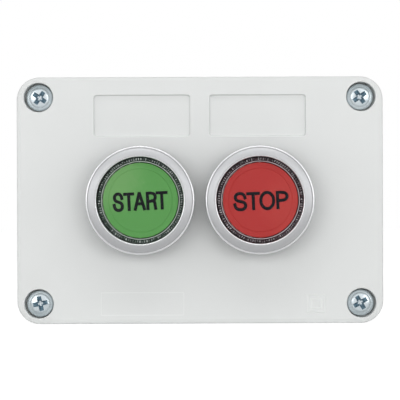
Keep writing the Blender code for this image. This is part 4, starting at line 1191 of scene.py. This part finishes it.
# %% The four springs
SPRING_SIZES = {"return": (5.75, 0.8, 5.0), "contact": (2.0, 0.5, 4.5)}
CLOSED_PITCH = 1.3
STEPS_A_TURN = 40
TRAVEL = {joint["name"]: joint["range_m"][1] for joint in frame["joints"]}
SPRING_ENDS = {
    "start_return_spring": (TRAVEL["start_press"], 0.0),
    "start_contact_spring": (TRAVEL["start_stem_slide"], TRAVEL["start_bridge_slide"]),
    "stop_return_spring": (TRAVEL["stop_press"], 0.0),
    "stop_contact_spring": (TRAVEL["stop_bridge_slide"], 0.0),
}


def coil(place, radius, wire, length, turns):
    """A compression spring of round wire that starts on a face and stands out of it."""
    work = bmesh.new()
    half = wire / 2 * MM
    upright = Matrix.Rotation(math.radians(90), 4, "X")
    start = place @ Matrix.Translation((radius * MM, 0, half)) @ upright
    made = bmesh.ops.create_circle(work, cap_ends=False, segments=12, radius=half, matrix=start)
    section = made["verts"] + edges_of(made["verts"])
    out = place.to_3x3() @ Vector((0, 0, 1))
    closed_rise = CLOSED_PITCH * wire
    open_rise = length - wire - 2 * closed_rise
    for part, rise in ((1.0, closed_rise), (turns - 2.0, open_rise), (1.0, closed_rise)):
        steps = round(part * STEPS_A_TURN)
        made = bmesh.ops.spin(
            work,
            geom=section,
            cent=place.translation,
            axis=out,
            dvec=out * (rise * MM / steps),
            angle=math.tau * part,
            steps=steps,
        )
        section = made["geom_last"]
    ends = [edge for edge in work.edges if edge.is_boundary]
    bmesh.ops.holes_fill(work, edges=ends, sides=0)
    return work


for node, (front_travel, rear_travel) in SPRING_ENDS.items():
    prefix, kind = node.split("_")[:2]
    low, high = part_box(node)
    length = high.y - low.y
    seat = on_face(BUTTON_SIDES[prefix] * BUTTON_X * MM, high.y, 0)
    radius, wire, turns = SPRING_SIZES[kind]
    work = coil(seat, radius, wire, length / MM, turns)
    name = f"{prefix}_wound_{kind}_spring"
    spring = finish_piece(name, work, [SPRING_WIRE], "station", [node], 60)
    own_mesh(spring)

# %% Hand the finishes out
FINISHES = {
    "black_nylon": BLACK_NYLON,
    "white_nylon": WHITE_ACETAL,
    "seal_rubber": NITRILE,
    "spring_steel": SPRING_WIRE,
    "contact_brass": BRASS,
    "zinc_steel": ZINC,
    "cover_abs": COVER_ABS,
    "base_abs": BASE_ABS,
    "bezel_metal": SATIN,
    "clear_cap": ACRYLIC,
    "green_legend": LEGENDS["start"],
    "red_legend": LEGENDS["stop"],
}
for entry in frame["record"]["subparts"]:
    for place in frame["nodes"][entry["node"]].material_slots:
        place.material = FINISHES[entry["material_slot"]]

# %% [markdown]
# ## Floor, light and camera
#
# Product shots of this kind are made in a white tent: light comes from nearly everywhere, a
# little more from above and the sides than from below. The world gives that even light. A low,
# wide soft lamp in front, a strip above, one lamp behind and one at each side add direction, and
# two small ones near the front lamp put the gleam on the screw heads. The floor is matt white
# paper. To the camera it glows like the tent, so it looks white, yet it still shows a shadow.

# %% Floor
FLOOR_DROP = 0.02
WHITE_SHARE, MIRROR_SHARE, GLOW = 0.84, 0.27, 1.15
paper = bpy.data.materials.new("white_paper_floor")
paper.use_nodes = True
tree = paper.node_tree
tree.nodes.clear()
rays = add_node(tree, "LightPath").outputs
seen = {0: rays["Is Camera Ray"], 1: rays["Is Transmission Ray"]}
seen = add_node(tree, "Math", seen, operation="MAXIMUM")
share = add_node(tree, "Math", {0: seen, 1: WHITE_SHARE}, operation="MULTIPLY")
share = {0: rays["Is Glossy Ray"], 1: MIRROR_SHARE, 2: share}
share = add_node(tree, "Math", share, operation="MULTIPLY_ADD")
matt = add_node(tree, "BsdfDiffuse", {"Color": colour("#f4f4f4")})
glow = add_node(tree, "Emission", {"Color": colour("#ffffff"), "Strength": GLOW})
both = add_node(tree, "MixShader", {0: share, 1: matt, 2: glow})
add_node(tree, "OutputMaterial", {"Surface": both})

work = bmesh.new()
level = Matrix.Translation((0, 0, base_low.z - FLOOR_DROP * MM))
bmesh.ops.create_grid(work, x_segments=1, y_segments=1, size=3.0, matrix=level)
to_object("floor", work, [paper])
print("floor", FLOOR_DROP, "mm below the box")

# %% World
TENT_LIGHT = 0.32
world = bpy.data.worlds.new("white_tent")
bpy.context.scene.world = world
world.use_nodes = True
tree = world.node_tree
tree.nodes.clear()
rays = add_node(tree, "LightPath").outputs
seen = {0: rays["Is Camera Ray"], 1: rays["Is Glossy Ray"]}
seen = add_node(tree, "Math", seen, operation="MAXIMUM")
seen = add_node(tree, "Math", {0: seen, 1: rays["Is Transmission Ray"]}, operation="MAXIMUM")

# What mirrors the tent sees it darker towards both sides, where dark flags hang, and darker
# straight in front and a little below, where the camera stands.
ray = add_node(tree, "TexCoord").outputs["Generated"]
sideways = add_node(tree, "SeparateXYZ", {"Vector": ray}).outputs["X"]
sideways = add_node(tree, "Math", {0: sideways}, operation="ABSOLUTE")
fade = {"From Min": 0.35, "From Max": 0.9, "To Min": 1.0, "To Max": 0.55}
flags = add_node(tree, "MapRange", {"Value": sideways, **fade}, interpolation_type="SMOOTHSTEP")
ahead = add_node(tree, "VectorMath", {0: ray, 1: (0.0, -0.995, -0.1)}, operation="DOT_PRODUCT")
fade = {"From Min": 0.87, "From Max": 0.99, "To Min": 1.0, "To Max": 0.75}
fade["Value"] = ahead.outputs["Value"]
stand = add_node(tree, "MapRange", fade, interpolation_type="SMOOTHSTEP")
level = add_node(tree, "Math", {0: flags, 1: stand}, operation="MULTIPLY")
mirrored = {"Factor": rays["Is Glossy Ray"], "A": 1.0, "B": level}
mirrored = add_node(tree, "Mix", mirrored, data_type="FLOAT")
tent = add_node(tree, "Background", {"Color": colour("#ffffff"), "Strength": TENT_LIGHT})
white = add_node(tree, "Background", {"Color": colour("#ffffff"), "Strength": mirrored})
both = add_node(tree, "MixShader", {0: seen, 1: tent, 2: white})
add_node(tree, "OutputWorld", {"Surface": both})
print("world:", world.name)

# %% Soft lamps: place in metres, width and height in metres, watts
LAMPS = {
    "lamp_in_front": ((0.0, -1.0, 0.12), 1.2, 0.3, 3.4),
    "strip_above": ((0.0, -0.4, 0.5), 0.6, 0.15, 0.6),
    "lamp_behind": ((0.0, 0.7, 0.4), 0.6, 0.6, 1.8),
    "lamp_left": ((-0.6, -0.45, 0.1), 0.6, 0.3, 0.6),
    "lamp_right": ((0.6, -0.45, 0.1), 0.6, 0.3, 0.6),
    "gleam_left": ((-0.38, -1.05, 0.15), 0.18, 0.35, 0.3),
    "gleam_right": ((0.38, -1.05, 0.15), 0.18, 0.35, 0.3),
}
for name, (spot, width, height, watts) in LAMPS.items():
    light = bpy.data.lights.new(name, "AREA")
    light.shape = "RECTANGLE"
    light.size = width
    light.size_y = height
    light.energy = watts
    lamp = bpy.data.objects.new(name, light)
    bpy.context.scene.collection.objects.link(lamp)
    lamp.location = spot
    lamp.visible_camera = False
    lamp.visible_glossy = name != "lamp_in_front"
    towards = Vector((0, FACE_Y, 0)) - Vector(spot)
    lamp.rotation_euler = towards.to_track_quat("-Z", "Y").to_euler()
print("lamps:", len(LAMPS))

# %% [markdown]
# The camera stands straight in front, far away, so the box shows almost without perspective. The
# field of view follows from the size of the box in the picture: 366 of 400 pixels for 100 mm. The
# box hangs a fifth of a degree askew in it, so the camera is rolled by as much.

# %% Camera
DISTANCE = 1.0
FIELD_WIDTH = 0.10926
ROLL, RAISED = 0.21, 0.05
lens = bpy.data.cameras.new("camera")
lens.sensor_width = 36.0
lens.lens = lens.sensor_width * DISTANCE / FIELD_WIDTH
camera = bpy.data.objects.new("camera", lens)
bpy.context.scene.collection.objects.link(camera)
roll = Matrix.Rotation(math.radians(ROLL), 4, "Y")
stand = Matrix.Translation((0, FACE_Y - DISTANCE, RAISED * MM))
camera.matrix_world = stand @ roll @ OUT_OF_FRONT
bpy.context.scene.camera = camera
bpy.context.scene.view_settings.view_transform = "Standard"
print("lens", round(lens.lens, 1), "mm")
